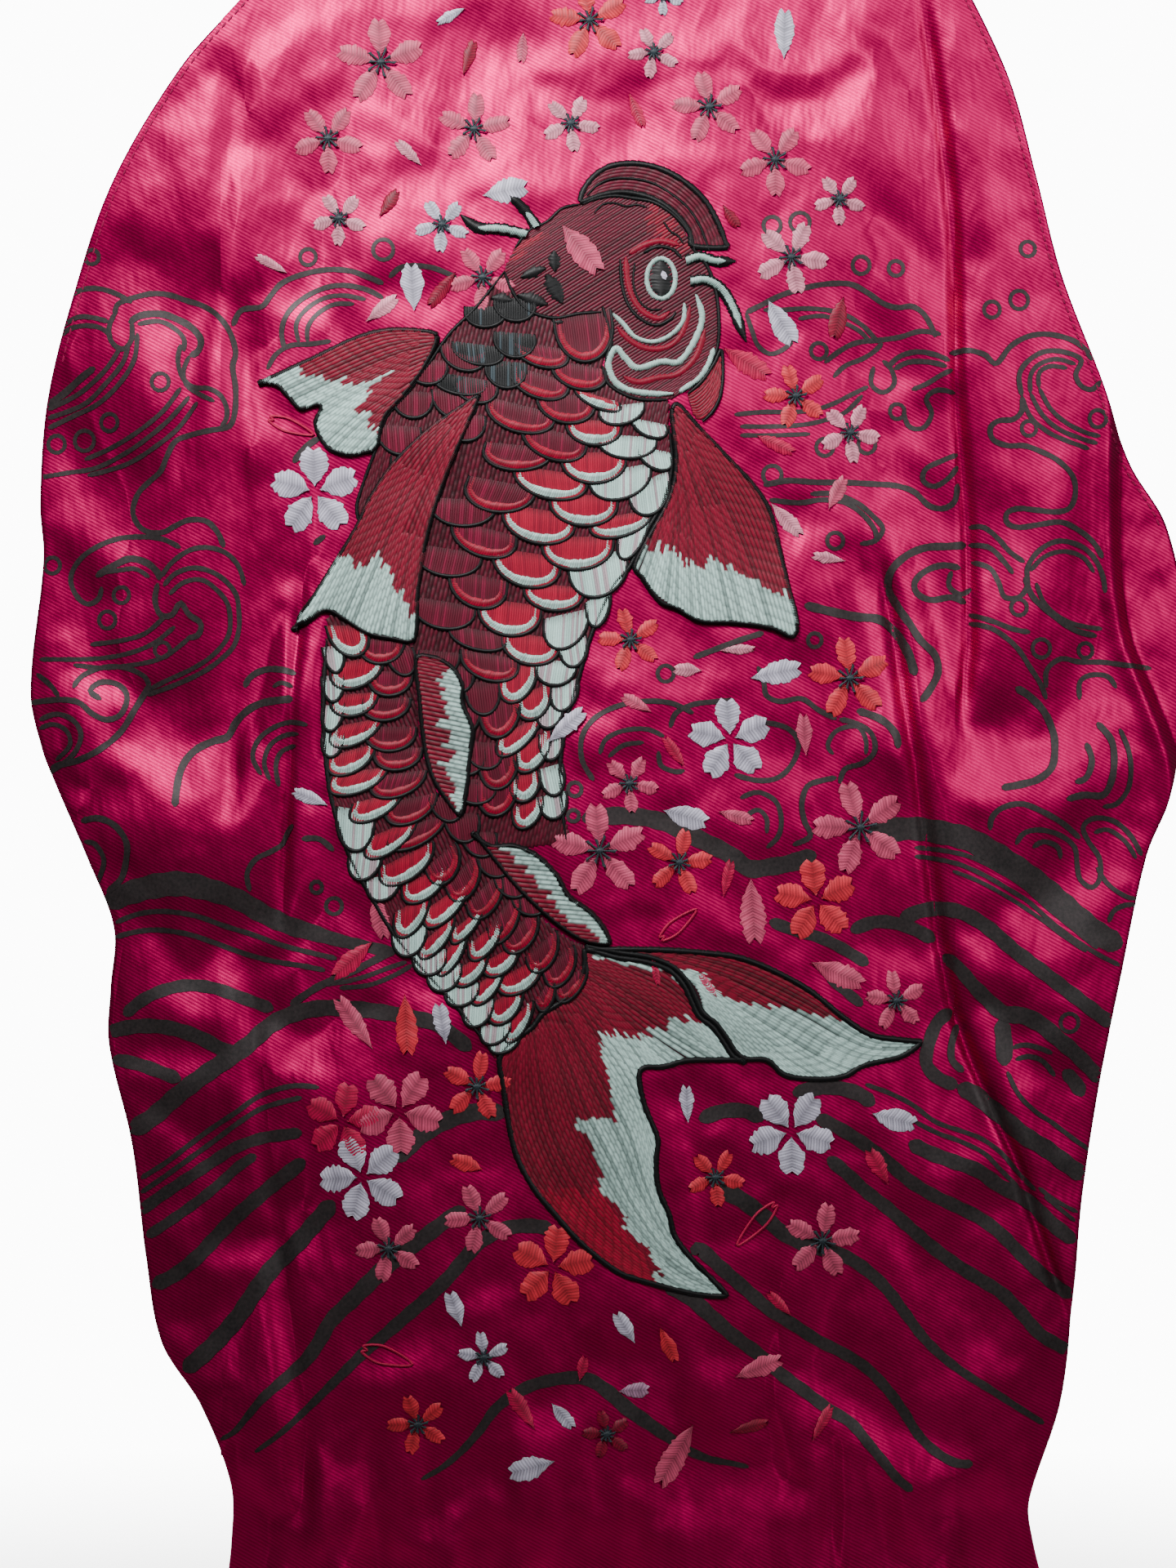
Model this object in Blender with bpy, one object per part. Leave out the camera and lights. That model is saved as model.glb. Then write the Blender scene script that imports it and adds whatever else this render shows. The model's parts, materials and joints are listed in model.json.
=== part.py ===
"""Hanging satin back panel of a jacket, with a raised carp, blossoms, lining and two soft side folds.

The panel hangs from a straight neck tape. Its front faces -Y, X runs to the right and Z up, and the origin
is the middle of the neck tape's top face. Every outline is drawn flat on the front view in millimetres,
(u, v): u to the right of the centre line, v up from the lower edge of the printed field. The function
drape() then gives the depth of the cloth at each (u, v), and each layer lies at its own distance from it.
"""
import math

import bmesh
import bpy
from mathutils import Vector
from mathutils.geometry import delaunay_2d_cdt

MM = 0.001

# Driving dimensions of the panel, in millimetres
NECK_V = 570.0            # top face of the neck tape
TAPE_HEIGHT = 10.0
TAPE_THICKNESS = 3.0
TAPE_LEFT, TAPE_RIGHT = -91.0, 114.0
SWING_GAP = 1.5           # open slot between the tape and the cloth, where the panel swings
WAIST_V = -12.0
FOLD_U = 126.0            # the two side folds stand this far from the centre line
FOLD_GAP = 1.5
HEM_HEIGHT = 26.0
BINDING_WIDTH = 10.0
BINDING_GAP = 0.8
BACKING_MARGIN = 10.0     # the stabiliser stops this far inside the folds, the seams and the tape
BACKING_LOW_V = 60.0
ELASTIC_MARGIN = 3.0      # the elastic stops this far inside the hem's two edges
SIDE_LINING_LIFT = 75.0   # the side lining and its binding start this far above the side's lower end
SIDE_LINING_DROP = 40.0   # and stop this far below its upper end
LEFT_SIDE = (52.0, 522.0)     # lower and upper end of each side zone
RIGHT_SIDE = (WAIST_V, 536.0)

# Columns and rows of each cloth's grid
SATIN_GRID, LINING_GRID, BACKING_GRID = (14, 26), (12, 20), (10, 18)
BAND_COLUMNS = 12
SIDE_ROWS, SIDE_LINING_ROWS = 26, 20
LEFT_COLUMNS, RIGHT_COLUMNS = 4, 8

# Depths behind the front face of the satin, in millimetres; less than zero is in front of it
SATIN = (0.0, 0.5)
BACKING = (0.95, 1.45)
LINING_THICKNESS = 0.4
LINING_DEPTH = 0.8
LINING_BULGE = 5.0
SIDE_LINING_BULGE = 2.4
ELASTIC = (0.8, 1.6)
FACING = (1.9, 2.4)
THREAD_LOW = (-1.0, -0.3)     # thread fields that lie on the satin
THREAD_HIGH = (-2.0, -1.3)    # thread fields sewn over the lower ones
TOUCH_GAP = 0.3
BORDER_GAP = 0.25             # each thread field keeps this far inside its drawn outline

# Shape of the hang, in millimetres
BOW_DEPTH = 30.0              # how far the sides hang behind the middle
BOW_HALF_WIDTH = 190.0
BOW_POWER = 2.2
BOW_FORWARD = 9.0             # how far the middle stands in front of the neck tape
BOW_FADE = 180.0              # the bow grows over this height below the tape
PLEAT_U, PLEAT_WIDTH, PLEAT_DEPTH = 148.0, 13.0, 5.0
PLEAT_V, PLEAT_REACH = 285.0, 160.0

# The panel's two side edges as (v, u), from the waist up
LEFT_EDGE = [(-12, -125), (8, -122.5), (29, -122.6), (55, -133), (76, -146.7), (105, -152.3), (145, -157.4),
             (179, -165.5), (198, -165), (219, -163.8), (243, -173), (269, -184.5), (281, -189.3),
             (301, -193.5), (347, -188.8), (366, -190), (400, -187.6), (435, -178.6), (476, -163.8),
             (515, -140), (538, -119.3), (570, -91)]
RIGHT_EDGE = [(-12, 158.5), (8, 153.4), (22, 152.2), (56, 163.2), (95, 167.7), (128, 171.1), (168, 177.5),
              (203, 184.8), (244, 194), (262, 201.5), (290, 208), (325, 208.5), (359, 201.5), (380, 188.4),
              (410, 177), (444, 163.2), (478, 154), (510, 145), (538, 132), (570, 114)]

# Thread fields of the carp
DORSAL_LINE = [(-59.5, 313), (-58.8, 300), (-57.5, 286), (-55, 274), (-50.5, 265), (-45, 258), (-39.5, 251),
               (-33, 242), (-24, 231), (-14, 221.5), (-6, 215.5), (-1, 213)]
HEAD_CROWN = [(-3, 467), (5, 469.5), (12, 470.5), (20, 469), (26, 466), (30.5, 462), (34, 457), (35.5, 452)]
CHEEK_LINE = [(27, 400), (19, 400), (13, 401.5), (7, 405.5), (5, 411.5), (7, 418), (8, 425), (4.5, 430),
              (-3, 429.5), (-12, 428), (-21, 431), (-26, 437.5), (-28.5, 444)]
TAIL_ROOT = [(-1, 213), (-2, 207), (-4, 201), (-9, 195.5), (-16, 191), (-20, 186), (-27, 181), (-31, 175)]
TAIL_SPINE = [(-1, 213), (10, 210.5), (20, 209), (28, 206), (33, 201), (36, 195), (38.5, 190), (43, 186.5),
              (47, 181), (50, 176.5), (54, 174)]
FIELDS = {
    "carp_crest": (
        [(-3, 467), (-2.5, 472), (1.5, 477.5), (7, 481), (14, 482.2), (21, 481.5), (28, 479), (35, 474.5),
         (41, 468.5), (45, 461.5), (47.5, 455), (47.8, 451.5)] + HEAD_CROWN[::-1][:-1]),
    "carp_head": (
        HEAD_CROWN + [(40, 447), (43, 440), (44.5, 431), (44.5, 420), (42, 413), (38, 407), (33, 403)]
        + CHEEK_LINE + [(-25, 452), (-20, 458), (-14, 461), (-9, 465.5)]),
    "gill_edge": (
        [(34, 402), (39, 406.5), (43, 412.5), (45.5, 417), (46, 408), (45, 401), (42.5, 396), (39, 392.5),
         (35.5, 396)]),
    "carp_front_body": (
        CHEEK_LINE[::-1] + [(27.5, 391), (28.6, 381), (28, 373), (25, 364), (20, 355), (14.5, 343.5),
                            (9, 337), (5, 329), (0.5, 318), (-3.5, 304), (-7.5, 290), (-9.5, 276),
                            (-9, 262), (-7.5, 250), (-20, 247), (-33, 245)]
        + DORSAL_LINE[:7][::-1] + [(-60.5, 322), (-66, 335), (-75, 350), (-79, 362), (-77, 371),
                                   (-73, 382), (-69, 394), (-62, 402), (-54, 413), (-47, 423), (-38, 432)]),
    "carp_rear_body": (
        DORSAL_LINE + TAIL_ROOT[1:] + [(-35, 180.5), (-45, 193), (-55, 204), (-66, 217), (-74, 230),
                                       (-81, 243), (-86, 257), (-89, 271), (-90.5, 288), (-90.5, 303),
                                       (-89.5, 318), (-88.5, 327), (-80, 323), (-68, 318), (-60.5, 317)]),
    "fin_left_upper": (
        [(-51, 422.5), (-60, 424.7), (-71, 424.5), (-81, 421.5), (-93, 416), (-105, 410.5), (-113, 406.3),
         (-107, 405), (-103, 401), (-98.5, 396.7), (-92, 398), (-94, 392), (-90, 384), (-83, 381),
         (-76.5, 381.5), (-71.5, 384), (-69, 394), (-62, 402), (-54.5, 412.5)]),
    "fin_left_lower": (
        [(-36.5, 402), (-41, 390), (-47, 376), (-52.5, 360), (-55.8, 346), (-57.5, 334), (-58.8, 318),
         (-68, 318), (-76, 320), (-84, 325), (-90, 327.5), (-96, 323.5), (-101.5, 321.5), (-97, 329),
         (-88, 343.5), (-80, 356.5), (-75, 367), (-66, 380), (-54, 391), (-44, 398)]),
    "fin_right": (
        [(28, 397), (31, 399), (38, 391.5), (48, 381), (57, 371.5), (62.5, 363), (66, 350), (69, 337),
         (72, 324), (70, 318.5), (62, 321.5), (50, 323), (38, 323.7), (30, 328), (24, 330.5), (18, 338.5),
         (15.2, 343.5), (20.5, 354.5), (26, 364.5), (28.8, 373), (29.3, 381), (28.4, 390)]),
    "dorsal_front": (
        [(-59.3, 312), (-58.3, 298), (-57, 285), (-54.5, 273), (-49.5, 264), (-43.5, 257.3), (-41, 264),
         (-39.5, 277), (-38.6, 288), (-42, 296.5), (-42, 303), (-46, 309.5), (-53, 313)]),
    "dorsal_rear": (
        [(-39.5, 252.5), (-33.5, 244), (-24, 232.5), (-14, 223), (-5, 216.5), (1.5, 214), (8, 214),
         (6, 220), (1, 226), (-6, 231), (-10, 238), (-17, 245), (-25, 248.5), (-33, 248.5)]),
    "tail_main": (
        TAIL_SPINE + [(45, 173.7), (34, 173.5), (26, 171.5), (19, 171), (18.5, 166), (20.5, 158),
                      (24.5, 148), (24, 140), (24.8, 131), (28.5, 122), (30.5, 114.5), (37, 106),
                      (48, 94.5), (42, 93), (31, 95), (18, 98.5), (9, 102), (-3, 111.5), (-12, 121.5),
                      (-19, 130), (-25, 141), (-28, 153), (-29.8, 165)] + TAIL_ROOT[::-1][:-1]),
    "tail_upper": (
        TAIL_SPINE[::-1] + [(12, 213.3), (26, 213), (40, 212), (52, 210.3), (64, 205.7), (76, 199),
                            (88, 189.5), (97, 183.7), (107, 182), (115, 180.5), (108, 174.8), (95, 171.7),
                            (88, 168), (78, 167), (67, 168.5), (61, 173.5)]),
}
HIGH_FIELDS = {"fin_left_upper", "fin_left_lower", "fin_right", "dorsal_front", "dorsal_rear"}
FIELD_COLOURS = {
    "carp_crest": (0.26, 0.01, 0.02), "carp_head": (0.16, 0.005, 0.02), "gill_edge": (0.45, 0.01, 0.02),
    "carp_front_body": (0.2, 0.006, 0.02), "carp_rear_body": (0.24, 0.008, 0.02),
    "dorsal_front": (0.4, 0.3, 0.3), "dorsal_rear": (0.4, 0.3, 0.3),
}
FIN_COLOUR = (0.3, 0.01, 0.02)
FIELD_STEP = 6.0              # spacing of the points along an outline
FIELD_MESH = 20.0             # spacing of the points inside an outline

# Black cords laid round these fields
CORDED = ["carp_crest", "fin_left_upper", "fin_left_lower", "fin_right", "dorsal_front", "dorsal_rear",
          "tail_main", "tail_upper"]
CORD_RADIUS = 0.6
CORD_INSET = 1.1
CORD_STEP = 7.0

# Eye: a padded white ring and a pupil, both ellipses
EYE_CENTRE = (25.0, 441.5)
EYE_RING_RADII = (4.4, 6.8)
EYE_RING_THICKNESS = 2.2
PUPIL_RADII = (2.6, 4.6)
PUPIL_DEPTHS = (-2.3, -1.3)

# Padded cords as open routes: points, radius at the start, radius at the end, depth of the cord's middle
BARBEL_DEPTH = -2.95
JAW_DEPTH = -2.1
PADDED_CORDS = {
    "barbel_right_upper": ([(33.5, 447.5), (38, 449), (43.5, 447.5), (49, 448)], 1.6, 1.2, BARBEL_DEPTH),
    "barbel_right_lower": ([(35, 440.5), (40.5, 441), (46, 437.5), (50, 430.5), (52.3, 424), (54, 420)],
                           1.6, 0.9, BARBEL_DEPTH),
    "barbel_left_lower": ([(-22, 457.5), (-30, 459), (-38, 460), (-44, 463)], 1.6, 0.7, BARBEL_DEPTH),
    "barbel_left_upper": ([(-17.5, 461), (-20.5, 465), (-24, 468), (-27, 470)], 1.5, 0.9, BARBEL_DEPTH),
    "jaw_cord_inner": ([(8.5, 429.5), (12, 426), (16, 421.5), (22, 419.8), (28, 422), (32.5, 427),
                        (33, 433)], 0.7, 0.7, JAW_DEPTH),
    "jaw_cord_middle": ([(37, 436), (39, 428), (36, 419.5), (31, 413), (25, 413), (17, 410.8), (13, 414),
                         (9.5, 417.5), (7, 412.5), (9, 406.5), (14, 403.2), (22, 402)],
                        0.8, 0.8, JAW_DEPTH),
    "jaw_cord_outer": ([(43, 417.5), (41, 412), (37.5, 407), (31, 402.7)], 0.9, 0.7, JAW_DEPTH),
}

# Blossoms that lie clear of the carp: centre u, v, radius, tilt in degrees, colour
PINK, CORAL, PALE = (0.6, 0.2, 0.25), (0.8, 0.12, 0.1), (0.7, 0.65, 0.72)
BLOSSOMS = [(-70.6, 515.8, 14, 80, PINK), (-89, 489.4, 11, 100, PINK), (-39.2, 493.4, 11.5, 85, PINK),
            (41.4, 500.6, 11.5, 70, PINK), (63.8, 482.7, 11.5, 95, PINK), (-93.5, 368.5, 12, 88, PALE),
            (89.6, 305.2, 12.5, 60, CORAL), (48.2, 284.2, 13, 85, PALE), (93.2, 253.4, 14.5, 78, PINK),
            (78.4, 228.2, 13, 50, CORAL), (69.4, 149.8, 13, 75, PALE), (79.8, 112.8, 12, 85, PINK),
            (-77, 134.4, 13, 60, PALE), (-58.2, 49.8, 9, 90, CORAL)]
PETALS = 5
BLOSSOM_WAIST = 0.34          # radius between two petals, as a part of the blossom's radius
BLOSSOM_POINTS = 30

FUCHSIA = (0.55, 0.008, 0.18)
MAGENTA_LINING = (0.2, 0.004, 0.07)
BLACK = (0.012, 0.012, 0.014)
MINT = (0.55, 0.68, 0.65)


def interpolate(points, at):
    """Value of a smooth curve through (position, value) points, by cubic Hermite pieces."""
    at = min(max(at, points[0][0]), points[-1][0])
    last = len(points) - 1
    i = min(next((k for k in range(last) if at <= points[k + 1][0]), last - 1), last - 1)

    def slope(k):
        before, after = points[max(k - 1, 0)], points[min(k + 1, last)]
        return (after[1] - before[1]) / (after[0] - before[0])

    (p0, v0), (p1, v1) = points[i], points[i + 1]
    width = p1 - p0
    t = (at - p0) / width
    return ((2 * t**3 - 3 * t**2 + 1) * v0 + (t**3 - 2 * t**2 + t) * width * slope(i)
            + (3 * t**2 - 2 * t**3) * v1 + (t**3 - t**2) * width * slope(i + 1))


def left_edge(v):
    return interpolate(LEFT_EDGE, v)


def right_edge(v):
    return interpolate(RIGHT_EDGE, v)


def smooth_step(t):
    t = min(max(t, 0.0), 1.0)
    return t * t * (3 - 2 * t)


def drape(u, v):
    """Depth of the satin's front face in millimetres, plus towards the back."""
    bow = BOW_DEPTH * (abs(u) / BOW_HALF_WIDTH) ** BOW_POWER - BOW_FORWARD
    pleat = -PLEAT_DEPTH * math.exp(-((u - PLEAT_U) / PLEAT_WIDTH) ** 2 - ((v - PLEAT_V) / PLEAT_REACH) ** 2)
    return bow * smooth_step((NECK_V - TAPE_HEIGHT - v) / BOW_FADE) + pleat


def on_cloth(u, v, depth=0.0):
    """Point in metres at a distance behind the front face of the satin."""
    return Vector((u, drape(u, v) + depth, v - NECK_V)) * MM


def smooth_route(points, step, cyclic):
    """Evenly spaced points on a Catmull-Rom curve through the given ones."""
    points = [Vector(p) for p in points]
    count = len(points)
    fine = []
    for i in range(count if cyclic else count - 1):
        if cyclic:
            a, b, c, d = (points[(i + k) % count] for k in (-1, 0, 1, 2))
        else:
            a, b, c, d = (points[min(max(i + k, 0), count - 1)] for k in (-1, 0, 1, 2))
        for k in range(8):
            t = k / 8
            fine.append(0.5 * (2 * b + (c - a) * t + (2 * a - 5 * b + 4 * c - d) * t**2
                               + (3 * b - a - 3 * c + d) * t**3))
    fine.append(points[0].copy() if cyclic else points[-1].copy())
    length = sum((q - p).length for p, q in zip(fine, fine[1:]))
    pieces = max(3, round(length / step))
    route, walked, target = [fine[0]], 0.0, length / pieces
    for p, q in zip(fine, fine[1:]):
        span = (q - p).length
        while walked + span >= target - 1e-9 and len(route) < pieces:
            route.append(p.lerp(q, (target - walked) / span))
            target += length / pieces
        walked += span
    return route if cyclic else route + [fine[-1]]


def signed_area(outline):
    return 0.5 * sum(p.x * q.y - q.x * p.y for p, q in zip(outline, outline[1:] + outline[:1]))


def inset(outline, distance):
    """Move each point of a closed outline inwards, along the bisector of its two sides."""
    inward = 1.0 if signed_area(outline) > 0 else -1.0
    moved = []
    for i, here in enumerate(outline):
        along = (outline[(i + 1) % len(outline)] - outline[i - 1]).normalized()
        moved.append(here + Vector((-along.y, along.x)) * inward * distance)
    return moved


def is_inside(point, outline):
    inside = False
    for p, q in zip(outline, outline[1:] + outline[:1]):
        if (p.y > point.y) != (q.y > point.y):
            if point.x < p.x + (point.y - p.y) * (q.x - p.x) / (q.y - p.y):
                inside = not inside
    return inside


def inner_points(outline, spacing):
    """Points of a triangular grid that lie inside the outline and clear of it."""
    low = Vector((min(p.x for p in outline), min(p.y for p in outline)))
    high = Vector((max(p.x for p in outline), max(p.y for p in outline)))
    rows = int((high.y - low.y) / (spacing * 0.87)) + 1
    columns = int((high.x - low.x) / spacing) + 1
    grid = [Vector((low.x + (c + 0.5 * (r % 2)) * spacing, low.y + (r + 0.5) * spacing * 0.87))
            for r in range(rows) for c in range(columns + 1)]
    clear = 0.35 * spacing
    return [g for g in grid if is_inside(g, outline) and min((g - p).length for p in outline) > clear]


def new_material(name, colour, roughness=0.5):
    material = bpy.data.materials.new(name)
    material.use_nodes = True
    shader = material.node_tree.nodes["Principled BSDF"]
    shader.inputs["Base Color"].default_value = (*colour, 1.0)
    shader.inputs["Roughness"].default_value = roughness
    return material


def add_object(name, data, collection, colour, roughness=0.5):
    """Link one sub-part, with its own material."""
    data.materials.append(new_material(name, colour, roughness))
    part = bpy.data.objects.new(name, data)
    collection.objects.link(part)
    return part


def thicken(mesh_builder, thickness):
    """Close an open front surface into a solid by pulling its faces back along Y."""
    front = list(mesh_builder.faces)
    pulled = bmesh.ops.extrude_face_region(mesh_builder, geom=front, use_keep_orig=True)
    moved = [item for item in pulled["geom"] if isinstance(item, bmesh.types.BMVert)]
    bmesh.ops.translate(mesh_builder, verts=moved, vec=(0, thickness * MM, 0))
    bmesh.ops.recalc_face_normals(mesh_builder, faces=list(mesh_builder.faces))


def finish_mesh(mesh_builder, name):
    mesh = bpy.data.meshes.new(name)
    mesh_builder.to_mesh(mesh)
    mesh_builder.free()
    mesh.shade_smooth()
    mesh.set_sharp_from_angle(angle=math.radians(40))
    return mesh


def add_cloth(name, collection, colour, span, v_range, grid, depth, thickness):
    """Layer between two edges: span(v) gives its left and right u, depth(u, v) its depth from the satin."""
    low_v, high_v = v_range
    sheet = bmesh.new()
    bmesh.ops.create_grid(sheet, x_segments=grid[0], y_segments=grid[1], size=0.5)
    for vertex in sheet.verts:
        v = low_v + (vertex.co.y + 0.5) * (high_v - low_v)
        left, right = span(v)
        u = left + (vertex.co.x + 0.5) * (right - left)
        vertex.co = on_cloth(u, v, depth(u, v))
    thicken(sheet, thickness)
    return add_object(name, finish_mesh(sheet, name), collection, colour, 0.35)


def add_field(name, collection, colour, outline, depths, spacing=FIELD_MESH):
    """Thread field: a drawn outline laid on the cloth and given the thickness of its stitches."""
    rim = inset(outline, BORDER_GAP)
    sides = [(i, (i + 1) % len(rim)) for i in range(len(rim))]
    points, _, faces, *_ = delaunay_2d_cdt(rim + inner_points(rim, spacing), sides, [], 1, 1e-5)
    field = bmesh.new()
    corners = [field.verts.new(on_cloth(p.x, p.y, depths[0])) for p in points]
    for face in faces:
        field.faces.new([corners[i] for i in face])
    thicken(field, depths[1] - depths[0])
    return add_object(name, finish_mesh(field, name), collection, colour, 0.55)


def add_cord(name, collection, colour, route, cyclic, radius, end_radius, depth):
    """Round cord of thread along a route of (u, v) points."""
    curve = bpy.data.curves.new(name, "CURVE")
    curve.dimensions = "3D"
    curve.bevel_depth = radius * MM
    curve.bevel_resolution = 0 if cyclic else 1
    curve.use_fill_caps = True
    spline = curve.splines.new("POLY")
    spline.points.add(len(route) - 1)
    for i, (point, place) in enumerate(zip(spline.points, route)):
        point.co = (*on_cloth(place.x, place.y, depth), 1.0)
        share = 0.0 if cyclic else i / (len(route) - 1)
        point.radius = 1 + share * (end_radius / radius - 1)
    spline.use_cyclic_u = cyclic
    return add_object(name, curve, collection, colour, 0.5)


def ellipse(centre, radii, count):
    turns = [2 * math.pi * i / count for i in range(count)]
    return [Vector((centre[0] + radii[0] * math.cos(a), centre[1] + radii[1] * math.sin(a))) for a in turns]


def blossom_outline(u, v, radius, tilt):
    """Five round petals as one closed outline, in polar form."""
    outline = []
    for i in range(BLOSSOM_POINTS):
        angle = 2 * math.pi * i / BLOSSOM_POINTS
        swell = abs(math.cos(0.5 * PETALS * angle)) ** 0.7
        reach = radius * (BLOSSOM_WAIST + (1 - BLOSSOM_WAIST) * swell)
        turn = angle + math.radians(tilt)
        outline.append(Vector((u + reach * math.cos(turn), v + reach * math.sin(turn))))
    return outline


def add_neck_tape(collection):
    tape = bmesh.new()
    bmesh.ops.create_cube(tape, size=1.0)
    bmesh.ops.scale(tape, verts=tape.verts,
                    vec=((TAPE_RIGHT - TAPE_LEFT) * MM, TAPE_THICKNESS * MM, TAPE_HEIGHT * MM))
    middle = ((TAPE_LEFT + TAPE_RIGHT) / 2 * MM, 0, -TAPE_HEIGHT / 2 * MM)
    bmesh.ops.translate(tape, verts=tape.verts, vec=middle)
    add_object("neck_tape", finish_mesh(tape, "neck_tape"), collection, FUCHSIA, 0.4)


def centre_span(v):
    """Left and right u of the middle zone, between the two folds."""
    limit = FOLD_U - FOLD_GAP / 2
    return max(left_edge(v), -limit), min(right_edge(v), limit)


def narrowed(span, left, right):
    """The same span, pulled in on each side."""
    def pulled(v):
        low, high = span(v)
        return low + left, high - right
    return pulled


def flat(depth):
    return lambda u, v: depth


def lining_depth(u, v):
    """The lining lies on the satin at its borders and hangs loose behind it elsewhere."""
    across = 1 - min(1.0, abs(u) / (FOLD_U - 1)) ** 8
    middle = 0.5 * (NECK_V + WAIST_V)
    upward = 1 - min(1.0, abs(v - middle) / (middle - WAIST_V - 4)) ** 8
    return LINING_DEPTH + LINING_BULGE * across * upward


def add_centre_cloth(collection):
    top = NECK_V - TAPE_HEIGHT - SWING_GAP
    hem_top = WAIST_V + HEM_HEIGHT
    add_cloth("satin_centre", collection, FUCHSIA, centre_span, (WAIST_V, top), SATIN_GRID,
              flat(SATIN[0]), SATIN[1] - SATIN[0])
    add_cloth("lining_centre", collection, MAGENTA_LINING, narrowed(centre_span, 0.5, 0.5),
              (hem_top + 1.0, top), LINING_GRID, lining_depth, LINING_THICKNESS)
    add_cloth("embroidery_backing", collection, (0.75, 0.75, 0.72),
              narrowed(centre_span, BACKING_MARGIN, BACKING_MARGIN), (BACKING_LOW_V, top - BACKING_MARGIN),
              BACKING_GRID, flat(BACKING[0]), BACKING[1] - BACKING[0])
    add_cloth("waist_elastic", collection, (0.6, 0.6, 0.58), narrowed(centre_span, 1.5, 1.5),
              (WAIST_V + ELASTIC_MARGIN, hem_top - ELASTIC_MARGIN), (BAND_COLUMNS, 1), flat(ELASTIC[0]),
              ELASTIC[1] - ELASTIC[0])
    add_cloth("waist_facing", collection, FUCHSIA, narrowed(centre_span, 0.5, 0.5), (WAIST_V, hem_top),
              (BAND_COLUMNS, 1), flat(FACING[0]), FACING[1] - FACING[0])


def add_side_cloth(collection, side, v_range, columns):
    """Satin, lining and seam binding of one side zone, from its fold to the seam."""
    start = FOLD_U + FOLD_GAP / 2
    sign = -1 if side == "left" else 1
    edge = left_edge if side == "left" else right_edge

    def strip(near, far):
        def span(v):
            near_u = sign * (start + near) if near is not None else edge(v) - sign * BINDING_WIDTH
            far_u = edge(v) - sign * far
            return min(near_u, far_u), max(near_u, far_u)
        return span

    def side_lining_depth(u, v):
        share = (abs(u) - start) / max(abs(edge(v)) - BINDING_WIDTH - start, 1.0)
        return LINING_DEPTH + SIDE_LINING_BULGE * math.sin(math.pi * min(max(share, 0.0), 1.0))

    lined = (v_range[0] + SIDE_LINING_LIFT, v_range[1] - SIDE_LINING_DROP)
    add_cloth(f"satin_{side}", collection, FUCHSIA, strip(0, 0), v_range, (columns, SIDE_ROWS),
              flat(SATIN[0]), SATIN[1] - SATIN[0])
    add_cloth(f"seam_binding_{side}", collection, FUCHSIA, strip(None, BINDING_GAP), lined,
              (1, SIDE_LINING_ROWS), flat(LINING_DEPTH), LINING_THICKNESS)
    add_cloth(f"lining_{side}", collection, MAGENTA_LINING, strip(0.5, BINDING_WIDTH + BINDING_GAP), lined,
              (columns - 1, SIDE_LINING_ROWS), side_lining_depth, LINING_THICKNESS)


def add_carp(collection):
    for name, points in FIELDS.items():
        outline = smooth_route(points, FIELD_STEP, cyclic=True)
        depths = THREAD_HIGH if name in HIGH_FIELDS else THREAD_LOW
        add_field(name, collection, FIELD_COLOURS.get(name, FIN_COLOUR), outline, depths)
        if name in CORDED:
            route = inset(smooth_route(points, CORD_STEP, cyclic=True), CORD_INSET)
            depth = depths[0] - TOUCH_GAP - CORD_RADIUS
            add_cord(f"outline_{name}", collection, BLACK, route, True, CORD_RADIUS, CORD_RADIUS, depth)


def add_head_details(collection):
    ring_radius = EYE_RING_THICKNESS / 2
    add_cord("eye_ring", collection, MINT, ellipse(EYE_CENTRE, EYE_RING_RADII, 20), True, ring_radius,
             ring_radius, THREAD_LOW[0] - TOUCH_GAP - ring_radius)
    add_field("pupil", collection, BLACK, ellipse(EYE_CENTRE, PUPIL_RADII, 16), PUPIL_DEPTHS)
    for name, (points, radius, end_radius, depth) in PADDED_CORDS.items():
        route = smooth_route(points, 2.5 * radius + 1, cyclic=False)
        add_cord(name, collection, MINT, route, False, radius, end_radius, depth)


def add_blossoms(collection):
    for i, (u, v, radius, tilt, colour) in enumerate(BLOSSOMS, start=1):
        outline = blossom_outline(u, v, radius, tilt)
        add_field(f"blossom_{i:02d}", collection, colour, outline, THREAD_LOW)


def clear_scene():
    for old in list(bpy.data.objects):
        bpy.data.objects.remove(old, do_unlink=True)


def main():
    clear_scene()
    collection = bpy.data.collections.new("embroidered_back_panel")
    bpy.context.scene.collection.children.link(collection)
    add_neck_tape(collection)
    add_centre_cloth(collection)
    add_side_cloth(collection, "left", LEFT_SIDE, LEFT_COLUMNS)
    add_side_cloth(collection, "right", RIGHT_SIDE, RIGHT_COLUMNS)
    add_carp(collection)
    add_head_details(collection)
    add_blossoms(collection)


main()
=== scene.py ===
"""Looks of the embroidered satin back panel: satin, printed waves, thread work, lining, seams and light.

Everything is drawn on the front view in millimetres, (u, v): u to the right of the centre line, v up from
the lower edge of the printed field. Cloth holds the depth of the satin at each (u, v), and every thread
stands at a height above it.
"""
import json
import math

import bmesh
import bpy
import numpy as np
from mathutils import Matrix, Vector
from mathutils.geometry import delaunay_2d_cdt

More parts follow.
